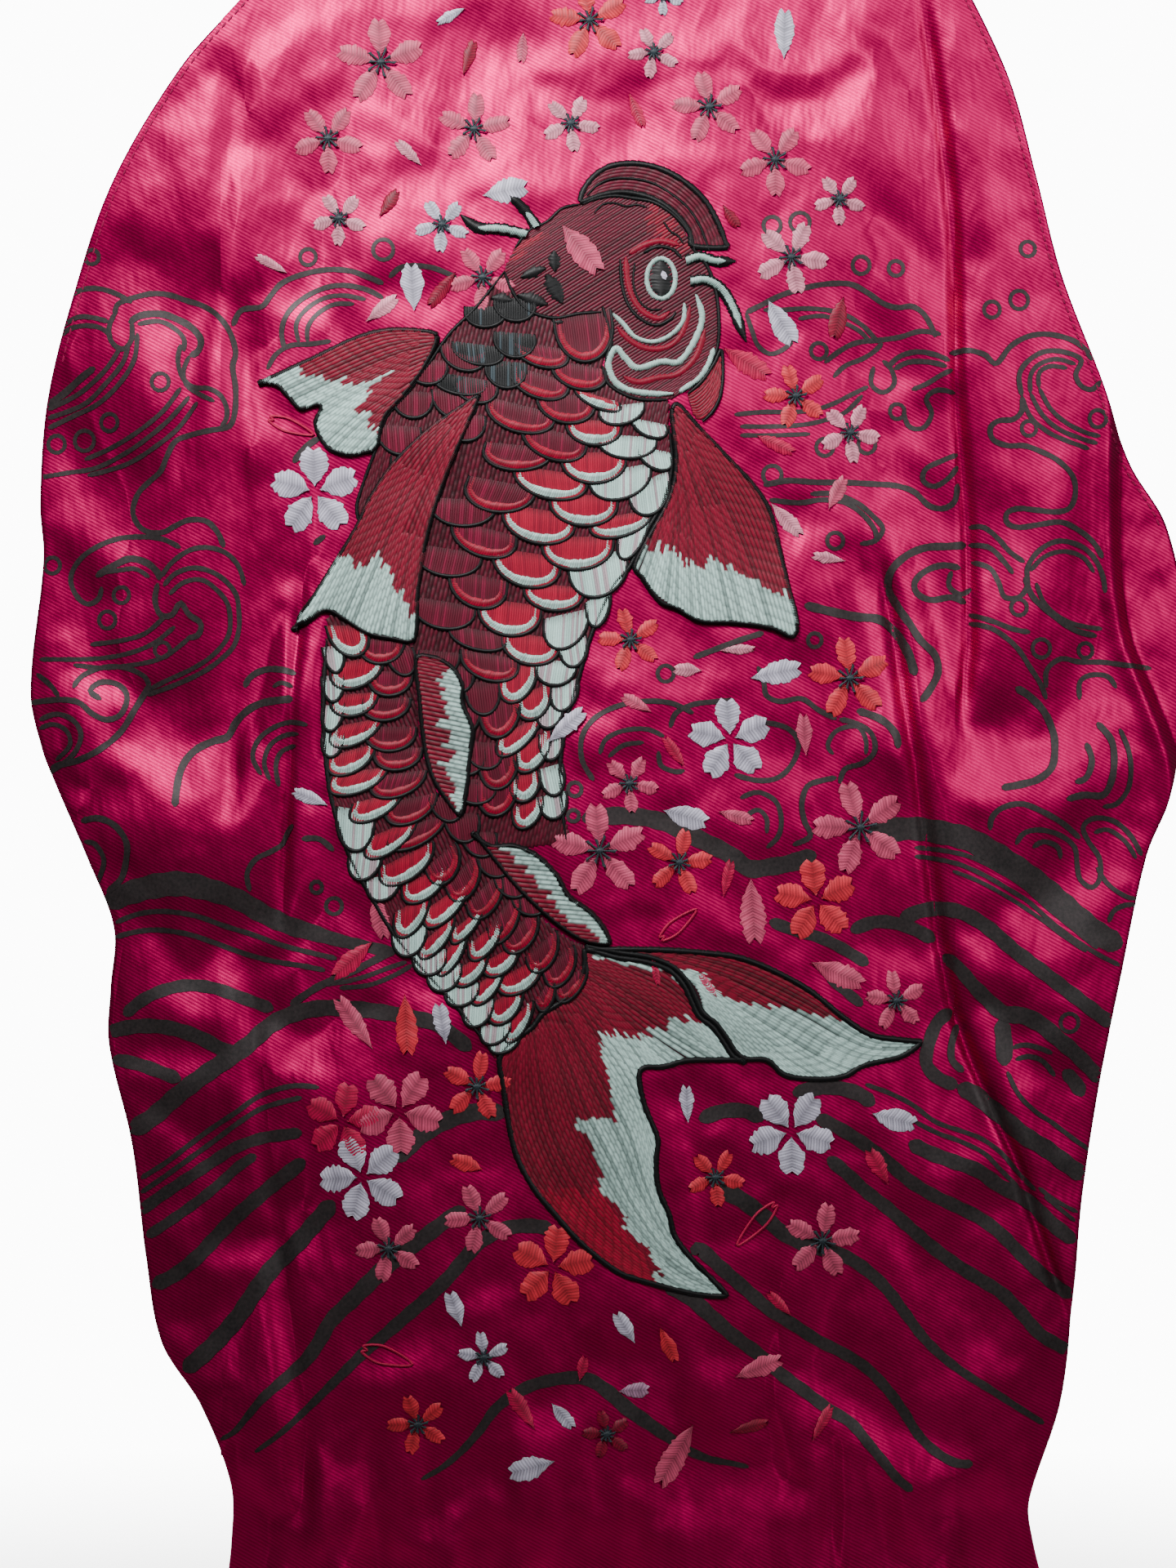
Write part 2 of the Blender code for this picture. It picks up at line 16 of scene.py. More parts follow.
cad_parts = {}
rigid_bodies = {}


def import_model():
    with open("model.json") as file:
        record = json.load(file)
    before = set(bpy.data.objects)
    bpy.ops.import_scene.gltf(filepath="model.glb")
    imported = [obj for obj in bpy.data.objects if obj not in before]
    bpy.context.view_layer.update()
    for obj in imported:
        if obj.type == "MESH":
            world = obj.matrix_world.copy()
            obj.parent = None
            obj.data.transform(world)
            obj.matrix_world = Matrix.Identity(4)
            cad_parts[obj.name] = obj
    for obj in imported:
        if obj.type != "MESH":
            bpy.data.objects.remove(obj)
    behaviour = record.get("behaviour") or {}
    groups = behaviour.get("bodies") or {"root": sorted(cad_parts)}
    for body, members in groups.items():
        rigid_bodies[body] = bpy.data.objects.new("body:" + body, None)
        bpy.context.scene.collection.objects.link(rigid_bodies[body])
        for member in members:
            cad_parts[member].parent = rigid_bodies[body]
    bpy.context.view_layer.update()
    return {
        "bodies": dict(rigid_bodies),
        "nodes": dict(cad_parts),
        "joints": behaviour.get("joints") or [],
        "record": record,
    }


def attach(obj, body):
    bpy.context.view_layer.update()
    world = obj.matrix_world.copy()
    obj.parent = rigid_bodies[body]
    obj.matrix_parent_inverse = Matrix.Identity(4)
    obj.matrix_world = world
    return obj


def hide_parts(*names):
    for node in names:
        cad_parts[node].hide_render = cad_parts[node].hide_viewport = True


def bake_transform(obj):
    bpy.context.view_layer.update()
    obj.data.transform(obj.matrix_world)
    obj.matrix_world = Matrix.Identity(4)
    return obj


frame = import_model()

MM = 0.001

# The panel's driving dimensions, in millimetres, as in the CAD
NECK_V, WAIST_V = 570.0, -12.0
TAPE_HEIGHT, TAPE_THICKNESS = 10.0, 3.0
TAPE_LEFT, TAPE_RIGHT = -91.0, 114.0
CLOTH_TOP = 558.5
FOLD_U = 126.0
HEM_HEIGHT = 26.0
BOW_DEPTH, BOW_HALF_WIDTH, BOW_POWER, BOW_FORWARD, BOW_FADE = 30.0, 190.0, 2.2, 9.0, 180.0
PLEAT_U, PLEAT_WIDTH, PLEAT_DEPTH, PLEAT_V, PLEAT_REACH = 148.0, 13.0, 5.0, 285.0, 160.0
LEFT_SIDE, RIGHT_SIDE = (38.5, 529.5), (-12.0, 548.0)     # the v range of each side zone

LEFT_EDGE = [(-12, -125), (8, -122.5), (29, -122.6), (55, -133), (76, -146.7), (105, -152.3), (145, -157.4),
             (179, -165.5), (198, -165), (219, -163.8), (243, -173), (269, -184.5), (281, -189.3),
             (301, -193.5), (347, -188.8), (366, -190), (400, -187.6), (435, -178.6), (476, -163.8),
             (515, -140), (538, -119.3), (570, -91)]
RIGHT_EDGE = [(-12, 158.5), (8, 153.4), (22, 152.2), (56, 163.2), (95, 167.7), (128, 171.1), (168, 177.5),
              (203, 184.8), (244, 194), (262, 201.5), (290, 208), (325, 208.5), (359, 201.5), (380, 188.4),
              (410, 177), (444, 163.2), (478, 154), (510, 145), (538, 132), (570, 114)]


def srgb(*levels):
    """Linear colour from sRGB levels out of 255."""
    return tuple(((x / 255 + 0.055) / 1.055) ** 2.4 if x > 10 else x / 255 / 12.92 for x in levels)


# The third of these is the ground under the rows of the head and fins; its darkness is painted shade between
# the rows.
CRIMSON, RED, GROOVE_SHADE_RED = srgb(90, 0, 32), srgb(132, 0, 38), srgb(38, 0, 14)
FIN_RED, FIN_WHITE, BRIGHT_RED = srgb(120, 0, 36), srgb(172, 202, 195), srgb(150, 0, 42)
WINE, WINE_PINK, BELLY_PINK = srgb(82, 0, 28), srgb(108, 2, 42), srgb(164, 146, 152)
MINT, BLACK = srgb(170, 202, 194), srgb(10, 11, 13)
PINK, PALE_PINK, CORAL = srgb(196, 76, 108), srgb(214, 134, 154), srgb(206, 46, 62)
WHITE_LILAC, MAGENTA, DEEP_MAGENTA = srgb(190, 186, 204), srgb(184, 14, 70), srgb(132, 4, 44)
CHARCOAL, LILAC = srgb(46, 58, 64), srgb(170, 128, 156)


# ---------------------------------------------------------------- curves and outlines

def hermite(points, at):
    """Values of a smooth curve through (position, value) points, by cubic Hermite pieces."""
    positions, values = np.array(points, float).T
    before = np.r_[0, np.arange(len(points) - 1)]
    after = np.r_[np.arange(1, len(points)), len(points) - 1]
    slopes = (values[after] - values[before]) / (positions[after] - positions[before])
    at = np.clip(at, positions[0], positions[-1])
    i = np.clip(np.searchsorted(positions, at, side="left") - 1, 0, len(points) - 2)
    width = positions[i + 1] - positions[i]
    t = (at - positions[i]) / width
    return ((2 * t**3 - 3 * t**2 + 1) * values[i] + (t**3 - 2 * t**2 + t) * width * slopes[i]
            + (3 * t**2 - 2 * t**3) * values[i + 1] + (t**3 - t**2) * width * slopes[i + 1])


def smooth_step(t):
    t = np.clip(t, 0.0, 1.0)
    return t * t * (3 - 2 * t)


def catmull(points, cyclic=False, pieces=8):
    """Fine points on a Catmull-Rom curve through the given ones."""
    points = np.array(points, float)
    count = len(points)
    i = np.arange(count if cyclic else count - 1)
    if cyclic:
        a, b, c, d = (points[(i + k) % count] for k in (-1, 0, 1, 2))
    else:
        a, b, c, d = (points[np.clip(i + k, 0, count - 1)] for k in (-1, 0, 1, 2))
    t = (np.arange(pieces) / pieces)[:, None, None]
    fine = 0.5 * (2 * b + (c - a) * t + (2 * a - 5 * b + 4 * c - d) * t**2 + (3 * b - a - 3 * c + d) * t**3)
    fine = fine.transpose(1, 0, 2).reshape(-1, points.shape[1])
    return np.vstack([fine, points[:1] if cyclic else points[-1:]])


def evenly(path, step):
    """The same path with points a step apart."""
    lengths = np.r_[0, np.cumsum(np.linalg.norm(np.diff(path, axis=0), axis=1))]
    count = max(2, int(round(lengths[-1] / step)) + 1)
    at = np.linspace(0, lengths[-1], count)
    return np.stack([np.interp(at, lengths, path[:, k]) for k in range(path.shape[1])], axis=1)


def route(points, step, cyclic=False):
    return evenly(catmull(points, cyclic), step)


def tangents(path):
    along = np.gradient(path, axis=0)
    return along / np.maximum(np.linalg.norm(along, axis=1, keepdims=True), 1e-9)


def sideways(path):
    """Unit vectors to the left of the way the path runs."""
    along = tangents(path)
    return np.stack([-along[:, 1], along[:, 0]], axis=1)


def inside(points, outline):
    """Which points lie inside a closed outline."""
    p, q = outline, np.roll(outline, -1, axis=0)
    u, v = points[:, 0:1], points[:, 1:2]
    crosses = (p[:, 1] > v) != (q[:, 1] > v)
    rise = np.where(np.abs(q[:, 1] - p[:, 1]) < 1e-12, 1e-12, q[:, 1] - p[:, 1])
    left_of = u < p[:, 0] + (v - p[:, 1]) * (q[:, 0] - p[:, 0]) / rise
    return (crosses & left_of).sum(axis=1) % 2 == 1


# ---------------------------------------------------------------- the satin's shape

GRID_STEP = 1.0
GRID_U = np.arange(-216.0, 226.5, GRID_STEP)
GRID_V = np.arange(-18.0, 568.5, GRID_STEP)

# Creases: (v, u) points, depth and width of the valley, side, height and width of the ridge beside it
CREASES = [
    ([(292, 129), (320, 131), (358, 130.5), (400, 127), (460, 125), (495, 121), (556, 112)],
     3.4, 2.2, 1, 2.6, 9.0),
    ([(84, 166), (119, 154), (141, 147), (156, 140), (188, 127), (210, 122), (230, 119), (272, 113),
      (294, 109), (320, 105), (348, 100)], 3.6, 2.3, 1, 2.4, 8.0),
    ([(262, 112), (294, 106), (320, 101), (340, 96)], 0.0, 2.0, -1, 2.2, 6.0),
    ([(258, -124), (350, -120), (430, -118)], 1.6, 4.0, -1, 1.2, 9.0),
    ([(226, -105), (250, -104), (300, -101), (338, -98)], 2.6, 2.0, 1, 1.4, 6.0),
    ([(10, -96), (60, -100), (150, -112), (205, -117)], 1.4, 4.0, -1, 1.2, 8.0),
    ([(30, 66), (60, 61), (110, 66)], 1.2, 3.5, 1, 1.2, 7.0),
    ([(380, -140), (440, -131), (520, -118)], 1.5, 5.0, 1, 1.2, 10.0),
    ([(60, 40), (110, 41), (150, 36)], 0.8, 3.0, -1, 0.9, 6.0),
]
# Rounded swells: u, v, half widths across and along, height towards the front
SWELLS = [(-150, 405, 16, 30, 3.0), (-128, 470, 15, 32, 2.6), (-70, 455, 18, 16, 1.8), (12, 520, 22, 14, 1.8),
          (95, 500, 14, 30, 2.2), (-138, 345, 14, 26, 2.4), (-118, 420, 8, 20, -2.6),
          (-152, 255, 20, 26, 2.6),
          (-120, 215, 14, 30, -2.0), (104, 285, 12, 16, 3.2), (96, 332, 14, 16, -2.0), (152, 95, 16, 36, 3.0),
          (128, 64, 22, 26, 2.4), (-112, 55, 12, 28, 2.4), (-60, 65, 16, 12, 2.0), (40, 62, 8, 10, 1.8),
          (-30, 545, 40, 14, 1.5), (86, 78, 16, 26, -1.6), (172, 200, 12, 30, 2.0), (165, 420, 14, 30, 1.8),
          (-100, 300, 8, 16, 2.0), (-92, 160, 12, 12, 1.6), (70, 330, 14, 14, 1.6), (120, 30, 16, 20, 2.2)]
RECESS_LINE = [(236, 205), (258, 202), (275, 201), (290, 196), (320, 184), (350, 180), (400, 179.5),
               (430, 178)]
RECESS_DEPTH, RECESS_LIP = 6.0, 1.8
RECESS_START, RECESS_WIDTH, RECESS_LIP_WIDTH = 0.5, 5.0, 3.0


def noise(cell_u, cell_v, seed):
    """Smooth random field of about -1..1 on the grid, with cells of the given size."""
    rng = np.random.RandomState(seed)
    u, v = np.meshgrid(GRID_U / cell_u, GRID_V / cell_v)
    u, v = u - u.min(), v - v.min()
    lattice = rng.uniform(-1, 1, (int(v.max()) + 3, int(u.max()) + 3))
    iu, iv = u.astype(int), v.astype(int)
    fu, fv = smooth_step(u - iu), smooth_step(v - iv)
    low = lattice[iv, iu] * (1 - fu) + lattice[iv, iu + 1] * fu
    high = lattice[iv + 1, iu] * (1 - fu) + lattice[iv + 1, iu + 1] * fu
    return low * (1 - fv) + high * fv


def read_grid(field, x, y):
    """Values between the points of a grid, at column x and row y."""
    x, y = np.clip(x, 0, field.shape[1] - 1.001), np.clip(y, 0, field.shape[0] - 1.001)
    ix, iy = x.astype(int), y.astype(int)
    fx, fy = x - ix, y - iy
    low = field[iy, ix] * (1 - fx) + field[iy, ix + 1] * fx
    high = field[iy + 1, ix] * (1 - fx) + field[iy + 1, ix + 1] * fx
    return low * (1 - fy) + high * fy


def cad_drape(u, v):
    """Depth of the CAD satin, plus towards the back."""
    bow = BOW_DEPTH * (np.abs(u) / BOW_HALF_WIDTH) ** BOW_POWER - BOW_FORWARD
    pleat = -PLEAT_DEPTH * np.exp(-((u - PLEAT_U) / PLEAT_WIDTH) ** 2 - ((v - PLEAT_V) / PLEAT_REACH) ** 2)
    return bow * smooth_step((NECK_V - TAPE_HEIGHT - v) / BOW_FADE) + pleat


def fold_depth(u, v):
    """Creases, swells, the recessed right edge and the gathers above the waist."""
    depth = np.zeros_like(u)
    for points, valley, width, side, ridge, ridge_width in CREASES:
        across = u - hermite(points, v)
        low, high = points[0][0], points[-1][0]
        fade = smooth_step((v - low + 12) / 30) * smooth_step((high + 12 - v) / 30)
        depth += fade * valley * np.exp(-(across / width) ** 2)
        depth -= fade * ridge * np.exp(-((side * across - 0.9 * ridge_width) / ridge_width) ** 2)
    for cu, cv, ru, rv, height in SWELLS:
        depth -= height * np.exp(-((u - cu) / ru) ** 2 - ((v - cv) / rv) ** 2)
    beyond = u - hermite(RECESS_LINE, v)
    fade = smooth_step((v - 228) / 34) * smooth_step((436 - v) / 60)
    recess = RECESS_DEPTH * smooth_step((beyond - RECESS_START) / RECESS_WIDTH)
    depth += fade * (recess - RECESS_LIP * np.exp(-(beyond / RECESS_LIP_WIDTH) ** 2))
    waist = smooth_step((88 - v) / 80)
    depth += waist * (3.4 * noise(13, 90, 5) + 1.5 * noise(6.5, 45, 6))
    depth += 1.3 * noise(38, 60, 7) + 0.7 * noise(21, 34, 8) + 0.22 * noise(11, 13, 9)
    return depth


REAR_CLEARANCE = 3        # the layers behind the satin keep this many grid steps clear of its creases


class Cloth:
    """Depth field of the satin, read at any (u, v), and the places that stand off it."""

    def __init__(self):
        u, v = np.meshgrid(GRID_U, GRID_V)
        self.base = cad_drape(u, v)
        top_hold = smooth_step((CLOTH_TOP - v) / 40)
        self.depth = self.planned = self.base + fold_depth(u, v) * top_hold
        self.update()

    def update(self):
        self.slope_v, self.slope_u = np.gradient(self.depth, GRID_STEP)
        self.rear = self.depth
        for _ in range(REAR_CLEARANCE):
            for axis in (0, 1):
                self.rear = np.maximum(self.rear, np.maximum(np.roll(self.rear, 1, axis),
                                                             np.roll(self.rear, -1, axis)))

    @staticmethod
    def sample(field, u, v):
        return read_grid(field, (np.asarray(u, float) - GRID_U[0]) / GRID_STEP,
                         (np.asarray(v, float) - GRID_V[0]) / GRID_STEP)

    def at(self, u, v):
        return self.sample(self.depth, u, v)

    def lift(self, u, v, height=0.0):
        """World points at a height above the satin's front, in metres."""
        slope_u, slope_v = self.sample(self.slope_u, u, v), self.sample(self.slope_v, u, v)
        scale = height / np.sqrt(1 + slope_u**2 + slope_v**2)
        return np.stack([u + scale * slope_u, self.at(u, v) - scale, v - NECK_V + scale * slope_v],
                        axis=-1) * MM


cloth = Cloth()


# ---------------------------------------------------------------- materials

class Shader:
    """A material with a Principled shader and short ways to add and join nodes."""

    def __init__(self, name, colour=(0.5, 0.5, 0.5), roughness=0.5, metallic=0.0, **constants):
        self.material = bpy.data.materials.new(name)
        self.material.use_nodes = True
        self.tree = self.material.node_tree
        self.principled = self.tree.nodes["Principled BSDF"]
        self.set(Base_Color=(*colour, 1), Roughness=roughness, Metallic=metallic, **constants)

    def set(self, **values):
        for name, value in values.items():
            socket = self.principled.inputs[name.replace("_", " ")]
            if isinstance(value, bpy.types.NodeSocket):
                self.tree.links.new(value, socket)
            else:
                socket.default_value = value

    def node(self, kind, inputs=None, **settings):
        made = self.tree.nodes.new("ShaderNode" + kind)
        for name, value in settings.items():
            setattr(made, name, value)
        for name, value in (inputs or {}).items():
            if isinstance(value, bpy.types.NodeSocket):
                self.tree.links.new(value, made.inputs[name])
            else:
                made.inputs[name].default_value = value
        return made.outputs

    def maths(self, operation, a, b=0.0):
        return self.node("Math", {0: a, 1: b}, operation=operation)[0]

    def noise(self, where, scale, detail=3.0):
        return self.node("TexNoise", {"Vector": where, "Scale": scale, "Detail": detail})["Fac"]

    def ramp(self, fac, low, high, start=0.3, end=0.7):
        """Colour from low to high as fac goes from start to end."""
        made = self.tree.nodes.new("ShaderNodeValToRGB")
        self.tree.links.new(fac, made.inputs[0])
        for element, colour, place in zip(made.color_ramp.elements, (low, high), (start, end)):
            element.color, element.position = (*colour, 1), place
        return made.outputs[0]

    def mix(self, fac, a, b, blend_type="MIX"):
        made = self.tree.nodes.new("ShaderNodeMix")
        made.data_type, made.blend_type = "RGBA", blend_type
        for socket, value in ((made.inputs[0], fac), (made.inputs[6], a), (made.inputs[7], b)):
            if isinstance(value, bpy.types.NodeSocket):
                self.tree.links.new(value, socket)
            else:
                socket.default_value = (*value, 1) if isinstance(value, tuple) else value
        return made.outputs[2]

    def bump(self, height, strength, distance, **under):
        return self.node("Bump", {"Height": height, "Strength": strength, "Distance": distance,
                                  **under})["Normal"]


def twill_lines(shader, where, period, angle):
    """Fine parallel lines across the cloth, 0..1, in the mesh's own flat millimetres."""
    turned = (math.cos(math.radians(angle)), math.sin(math.radians(angle)), 0.0)
    along = shader.node("VectorMath", {0: where, 1: turned}, operation="DOT_PRODUCT")["Value"]
    wave = shader.maths("SINE", shader.maths("MULTIPLY", along, 2 * math.pi / period))
    return shader.maths("MULTIPLY_ADD", wave, 0.5)


def satin_material(name, low, high, roughness, metallic, tint_size=14.0):
    shader = Shader(name, high, roughness, metallic, Anisotropic=0.3)
    flat = shader.node("UVMap", uv_map="flat_mm")["UV"]
    scaled = shader.node("VectorMath", {0: flat, 1: (1000.0, 1000.0, 0.0)}, operation="MULTIPLY")["Vector"]
    twill = twill_lines(shader, scaled, 1.15, 62.0)
    slubs = shader.noise(scaled, 1 / tint_size, 4.0)
    grain = shader.noise(scaled, 1.6, 2.0)
    tone = shader.maths("ADD", shader.maths("MULTIPLY", slubs, 0.45), shader.maths("MULTIPLY", twill, 0.4))
    shader.set(Base_Color=shader.ramp(tone, low, high, 0.1, 0.7))
    shader.set(Roughness=shader.maths("ADD", shader.maths("MULTIPLY", grain, 0.16), roughness - 0.08))
    relief = shader.maths("ADD", twill, shader.maths("MULTIPLY", grain, 0.8))
    stretched = shader.node("VectorMath", {0: flat, 1: (1.0, 0.4, 0.0)}, operation="MULTIPLY")["Vector"]
    puckers = shader.bump(shader.noise(stretched, 70.0, 3.0), 0.65, 0.0026)
    shader.set(Normal=shader.bump(relief, 0.3, 0.00006, Normal=puckers))
    return shader.material


def ink_material():
    shader = Shader("wave_ink", srgb(60, 60, 58), 0.52, 0.45)
    where = shader.node("TexCoord")["Object"]
    grain = shader.noise(where, 900.0, 3.0)
    worn = shader.noise(where, 60.0, 3.0)
    tone = shader.maths("ADD", shader.maths("MULTIPLY", grain, 0.6), shader.maths("MULTIPLY", worn, 0.4))
    worn_colour = shader.ramp(tone, srgb(20, 17, 18), srgb(52, 44, 45), 0.3, 0.7)
    rise = shader.node("SeparateXYZ", {0: where})["Z"]
    # Pink added to the ink higher up the panel, as the lit satin shows through there: painted sheen.
    painted_top_sheen = shader.ramp(rise, (0.0, 0.0, 0.0), srgb(128, 36, 84), -0.34, -0.1)
    shader.set(Base_Color=shader.mix(0.8, worn_colour, painted_top_sheen, "ADD"))
    shader.set(Normal=shader.bump(grain, 0.35, 0.00008))
    return shader.material


def thread_material():
    """Rayon thread: the colour of each stitch, with its painted shade, is held by the mesh; fibres and sheen
    come from the nodes.
    """
    shader = Shader("rayon_thread", (0.5, 0.1, 0.1), 0.5, 0.0, Sheen_Weight=0.02, Sheen_Roughness=0.4,
                    Specular_IOR_Level=0.22)
    colour = shader.node("Attribute", attribute_name="thread_colour_and_shade")["Color"]
    where = shader.node("TexCoord")["Object"]
    fibres = shader.noise(where, 2600.0, 2.0)
    patches = shader.noise(where, 120.0, 2.0)
    shade = shader.ramp(shader.maths("ADD", shader.maths("MULTIPLY", fibres, 0.55),
                                     shader.maths("MULTIPLY", patches, 0.45)),
                        (0.72, 0.72, 0.72), (1.12, 1.12, 1.12), 0.3, 0.7)
    shader.set(Base_Color=shader.mix(1.0, colour, shade, "MULTIPLY"))
    shader.set(Roughness=shader.maths("ADD", shader.maths("MULTIPLY", fibres, 0.2), 0.42))
    shader.set(Normal=shader.bump(fibres, 0.3, 0.00006))
    return shader.material


def woven_material(name, low, high, roughness, period):
    """Plain weave for tape, binding, backing and elastic."""
    shader = Shader(name, high, roughness, 0.0, Sheen_Weight=0.15)
    where = shader.node("TexCoord")["Object"]
    weave = shader.node("TexWave", {"Vector": where, "Scale": 1 / period / 6.28, "Distortion": 1.5,
                                    "Detail": 2.0}, wave_type="BANDS", bands_direction="DIAGONAL")["Fac"]
    blotch = shader.noise(where, 90.0, 3.0)
    shader.set(Base_Color=shader.ramp(blotch, low, high, 0.3, 0.7))
    relief = shader.maths("ADD", weave, shader.maths("MULTIPLY", shader.noise(where, 1500.0, 2.0), 0.6))
    shader.set(Normal=shader.bump(relief, 0.4, 0.0001))
    return shader.material


# ---------------------------------------------------------------- meshes

def mesh_object(name, points, quads, material, triangles=None):
    """Smooth-shaded object from arrays of world points and faces."""
    mesh = bpy.data.meshes.new(name)
    points = np.asarray(points, np.float32).reshape(-1, 3)
    loops = [np.asarray(quads, np.int32).reshape(-1)]
    starts = [np.arange(0, len(loops[0]), 4)]
    if triangles is not None and len(triangles):
        loops.append(np.asarray(triangles, np.int32).reshape(-1))
        starts.append(np.arange(0, len(loops[1]), 3) + len(loops[0]))
    loops, starts = np.concatenate(loops), np.concatenate(starts)
    mesh.vertices.add(len(points))
    mesh.vertices.foreach_set("co", points.reshape(-1))
    mesh.loops.add(len(loops))
    mesh.loops.foreach_set("vertex_index", loops.astype(np.int32))
    mesh.polygons.add(len(starts))
    mesh.polygons.foreach_set("loop_start", starts.astype(np.int32))
    mesh.update(calc_edges=True)
    mesh.shade_smooth()
    mesh.materials.append(material)
    made = bpy.data.objects.new(name, mesh)
    bpy.context.scene.collection.objects.link(made)
    return made


def grid_faces(rows, columns, first=0):
    """Quads of a grid of points stored row by row."""
    corner = first + np.arange((rows - 1) * columns).reshape(rows - 1, columns)[:, :-1].reshape(-1)
    return np.stack([corner, corner + 1, corner + columns + 1, corner + columns], axis=1)


def set_flat_uv(made, flat):
    """Lay the mesh's flat (u, v) in millimetres out as its UV map, in metres."""
    layer = made.data.uv_layers.new(name="flat_mm")
    corners = np.empty(len(made.data.loops), np.int32)
    made.data.loops.foreach_get("vertex_index", corners)
    layer.data.foreach_set("uv", (np.asarray(flat)[corners] * MM).astype(np.float32).reshape(-1))


# ---------------------------------------------------------------- cloth pieces

SATIN_STEP = 1.3
CURL_RADIUS = 1.2
TURNED_BACK = (2.0, 5.0, 8.0)
TUCK = 4.0                # how far the cloth runs up inside the neck tape
LINING_STEP = 2.6


def left_edge(v):
    return hermite(LEFT_EDGE, v)


def right_edge(v):
    return hermite(RIGHT_EDGE, v)


def centre_span(v):
    return np.maximum(left_edge(v), -FOLD_U), np.minimum(right_edge(v), FOLD_U)


def left_span(v):
    return left_edge(v), np.full_like(v, -FOLD_U)


def right_span(v):
    return np.full_like(v, FOLD_U), right_edge(v)


def curl(turned_back):
    """Offsets inwards and back of an edge that turns round to the rear."""
    angle = np.linspace(0, math.pi, 8)
    inwards = np.r_[CURL_RADIUS * (1 - np.sin(angle)), CURL_RADIUS + np.array(turned_back)]
    back = np.r_[CURL_RADIUS * (1 - np.cos(angle)), np.full(len(turned_back), 2 * CURL_RADIUS)]
    return inwards, back


def sheet(name, span, low_v, high_v, step, material, field=None, free=(False, False), hem=False, back=0.0):
    """One cloth piece between two edges, on a depth field. Free edges and the hem turn round to the rear."""
    field = cloth.depth if field is None else field
    inwards, behind = curl(TURNED_BACK)
    first_v = low_v + CURL_RADIUS if hem else low_v
    v = np.linspace(first_v, high_v, int((high_v - first_v) / step) + 1)
    row_back = np.zeros_like(v)
    if hem:
        v, row_back = np.r_[low_v + inwards[:0:-1], v], np.r_[behind[:0:-1], row_back]
    low, high = span(v)
    inner_low, inner_high = low + CURL_RADIUS * free[0], high - CURL_RADIUS * free[1]
    count = int((inner_high - inner_low).max() / step) + 2
    share = np.linspace(0, 1, count)
    u = inner_low[:, None] + (inner_high - inner_low)[:, None] * share
    column_back = np.zeros(count)
    if free[0]:
        u = np.hstack([low[:, None] + inwards[:0:-1], u])
        column_back = np.r_[behind[:0:-1], column_back]
    if free[1]:
        u = np.hstack([u, high[:, None] - inwards[1:]])
        column_back = np.r_[column_back, behind[1:]]
    v = np.repeat(v[:, None], u.shape[1], axis=1)
    depth = cloth.sample(field, u, v) + back + np.maximum(row_back[:, None], column_back[None, :])
    points = np.stack([u, depth, v - NECK_V], axis=-1) * MM
    made = mesh_object(name, points, grid_faces(*u.shape), material)
    set_flat_uv(made, np.stack([u, v], axis=-1).reshape(-1, 2))
    return made


def edge_strip(name, edge, sign, low_v, high_v, material):
    """Turned-back edge of the centre piece where it has no side piece beside it."""
    inwards, behind = curl([2.0, 5.0])
    v = np.linspace(low_v, high_v, max(3, int((high_v - low_v) / SATIN_STEP)))
    u = edge(v)[:, None] - sign * inwards[None, :]
    back = np.repeat(behind[None, :], len(v), axis=0)
    if sign < 0:
        u, back = u[:, ::-1], back[:, ::-1]
    v = np.repeat(v[:, None], u.shape[1], axis=1)
    points = np.stack([u, cloth.at(u, v) + back, v - NECK_V], axis=-1) * MM
    made = mesh_object(name, points, grid_faces(*u.shape), material)
    set_flat_uv(made, np.stack([u, v], axis=-1).reshape(-1, 2))
    return made


def join(name, pieces):
    """Make one object of several, with touching points welded."""
    bpy.ops.object.select_all(action="DESELECT")
    for piece in pieces:
        piece.select_set(True)
    bpy.context.view_layer.objects.active = pieces[0]
    bpy.ops.object.join()
    joined = pieces[0]
    joined.name = joined.data.name = name
    builder = bmesh.new()
    builder.from_mesh(joined.data)
    bmesh.ops.remove_doubles(builder, verts=builder.verts, dist=0.00002)
    builder.to_mesh(joined.data)
    builder.free()
    joined.data.shade_smooth()
    return joined


def hang_from_tape(piece):
    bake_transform(piece)


def ride_side(piece):
    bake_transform(piece)


def add_satin():
    satin = satin_material("fuchsia_satin", srgb(128, 0, 54), srgb(186, 0, 88), 0.5, 0.97)
    main = sheet("satin_centre_main", centre_span, WAIST_V, NECK_V - TAPE_HEIGHT + TUCK, SATIN_STEP, satin,
                 hem=True)
    free_edges = [edge_strip("edge_a", left_edge, -1, WAIST_V, LEFT_SIDE[0], satin),
                  edge_strip("edge_b", left_edge, -1, LEFT_SIDE[1], CLOTH_TOP, satin),
                  edge_strip("edge_c", right_edge, 1, RIGHT_SIDE[1], CLOTH_TOP, satin)]
    centre = join("satin_centre_panel", [main] + free_edges)
    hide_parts("satin_centre")
    left = sheet("satin_left_fold", left_span, *LEFT_SIDE, SATIN_STEP, satin, free=(True, False))
    right = sheet("satin_right_fold", right_span, *RIGHT_SIDE, SATIN_STEP, satin, free=(False, True),
                  hem=True)
    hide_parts("satin_left")
    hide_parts("satin_right")
    hang_from_tape(centre)
    ride_side(left)
    ride_side(right)
    declare_sheet(centre, centre_span, WAIST_V, NECK_V - TAPE_HEIGHT + TUCK, "neck_tape", hem=True)
    declare_sheet(left, left_span, *LEFT_SIDE, "satin_centre", turned_sides=1)
    declare_sheet(right, right_span, *RIGHT_SIDE, "satin_centre", turned_sides=1, hem=True)


def declare_sheet(piece, span, low, high, rest, turned_sides=0, hem=False):
    """Samples the left and right edges of the piece's span at 200 heights, and does nothing more with them.
    """
    v = np.linspace(low, high, 200)
    left, right = span(v)


# Depth of the lining behind the satin, in millimetres
LINING_GAP, LINING_BULGE = 1.2, 5.0
BINDING_WIDTH, BINDING_INSET = 10.0, 0.8


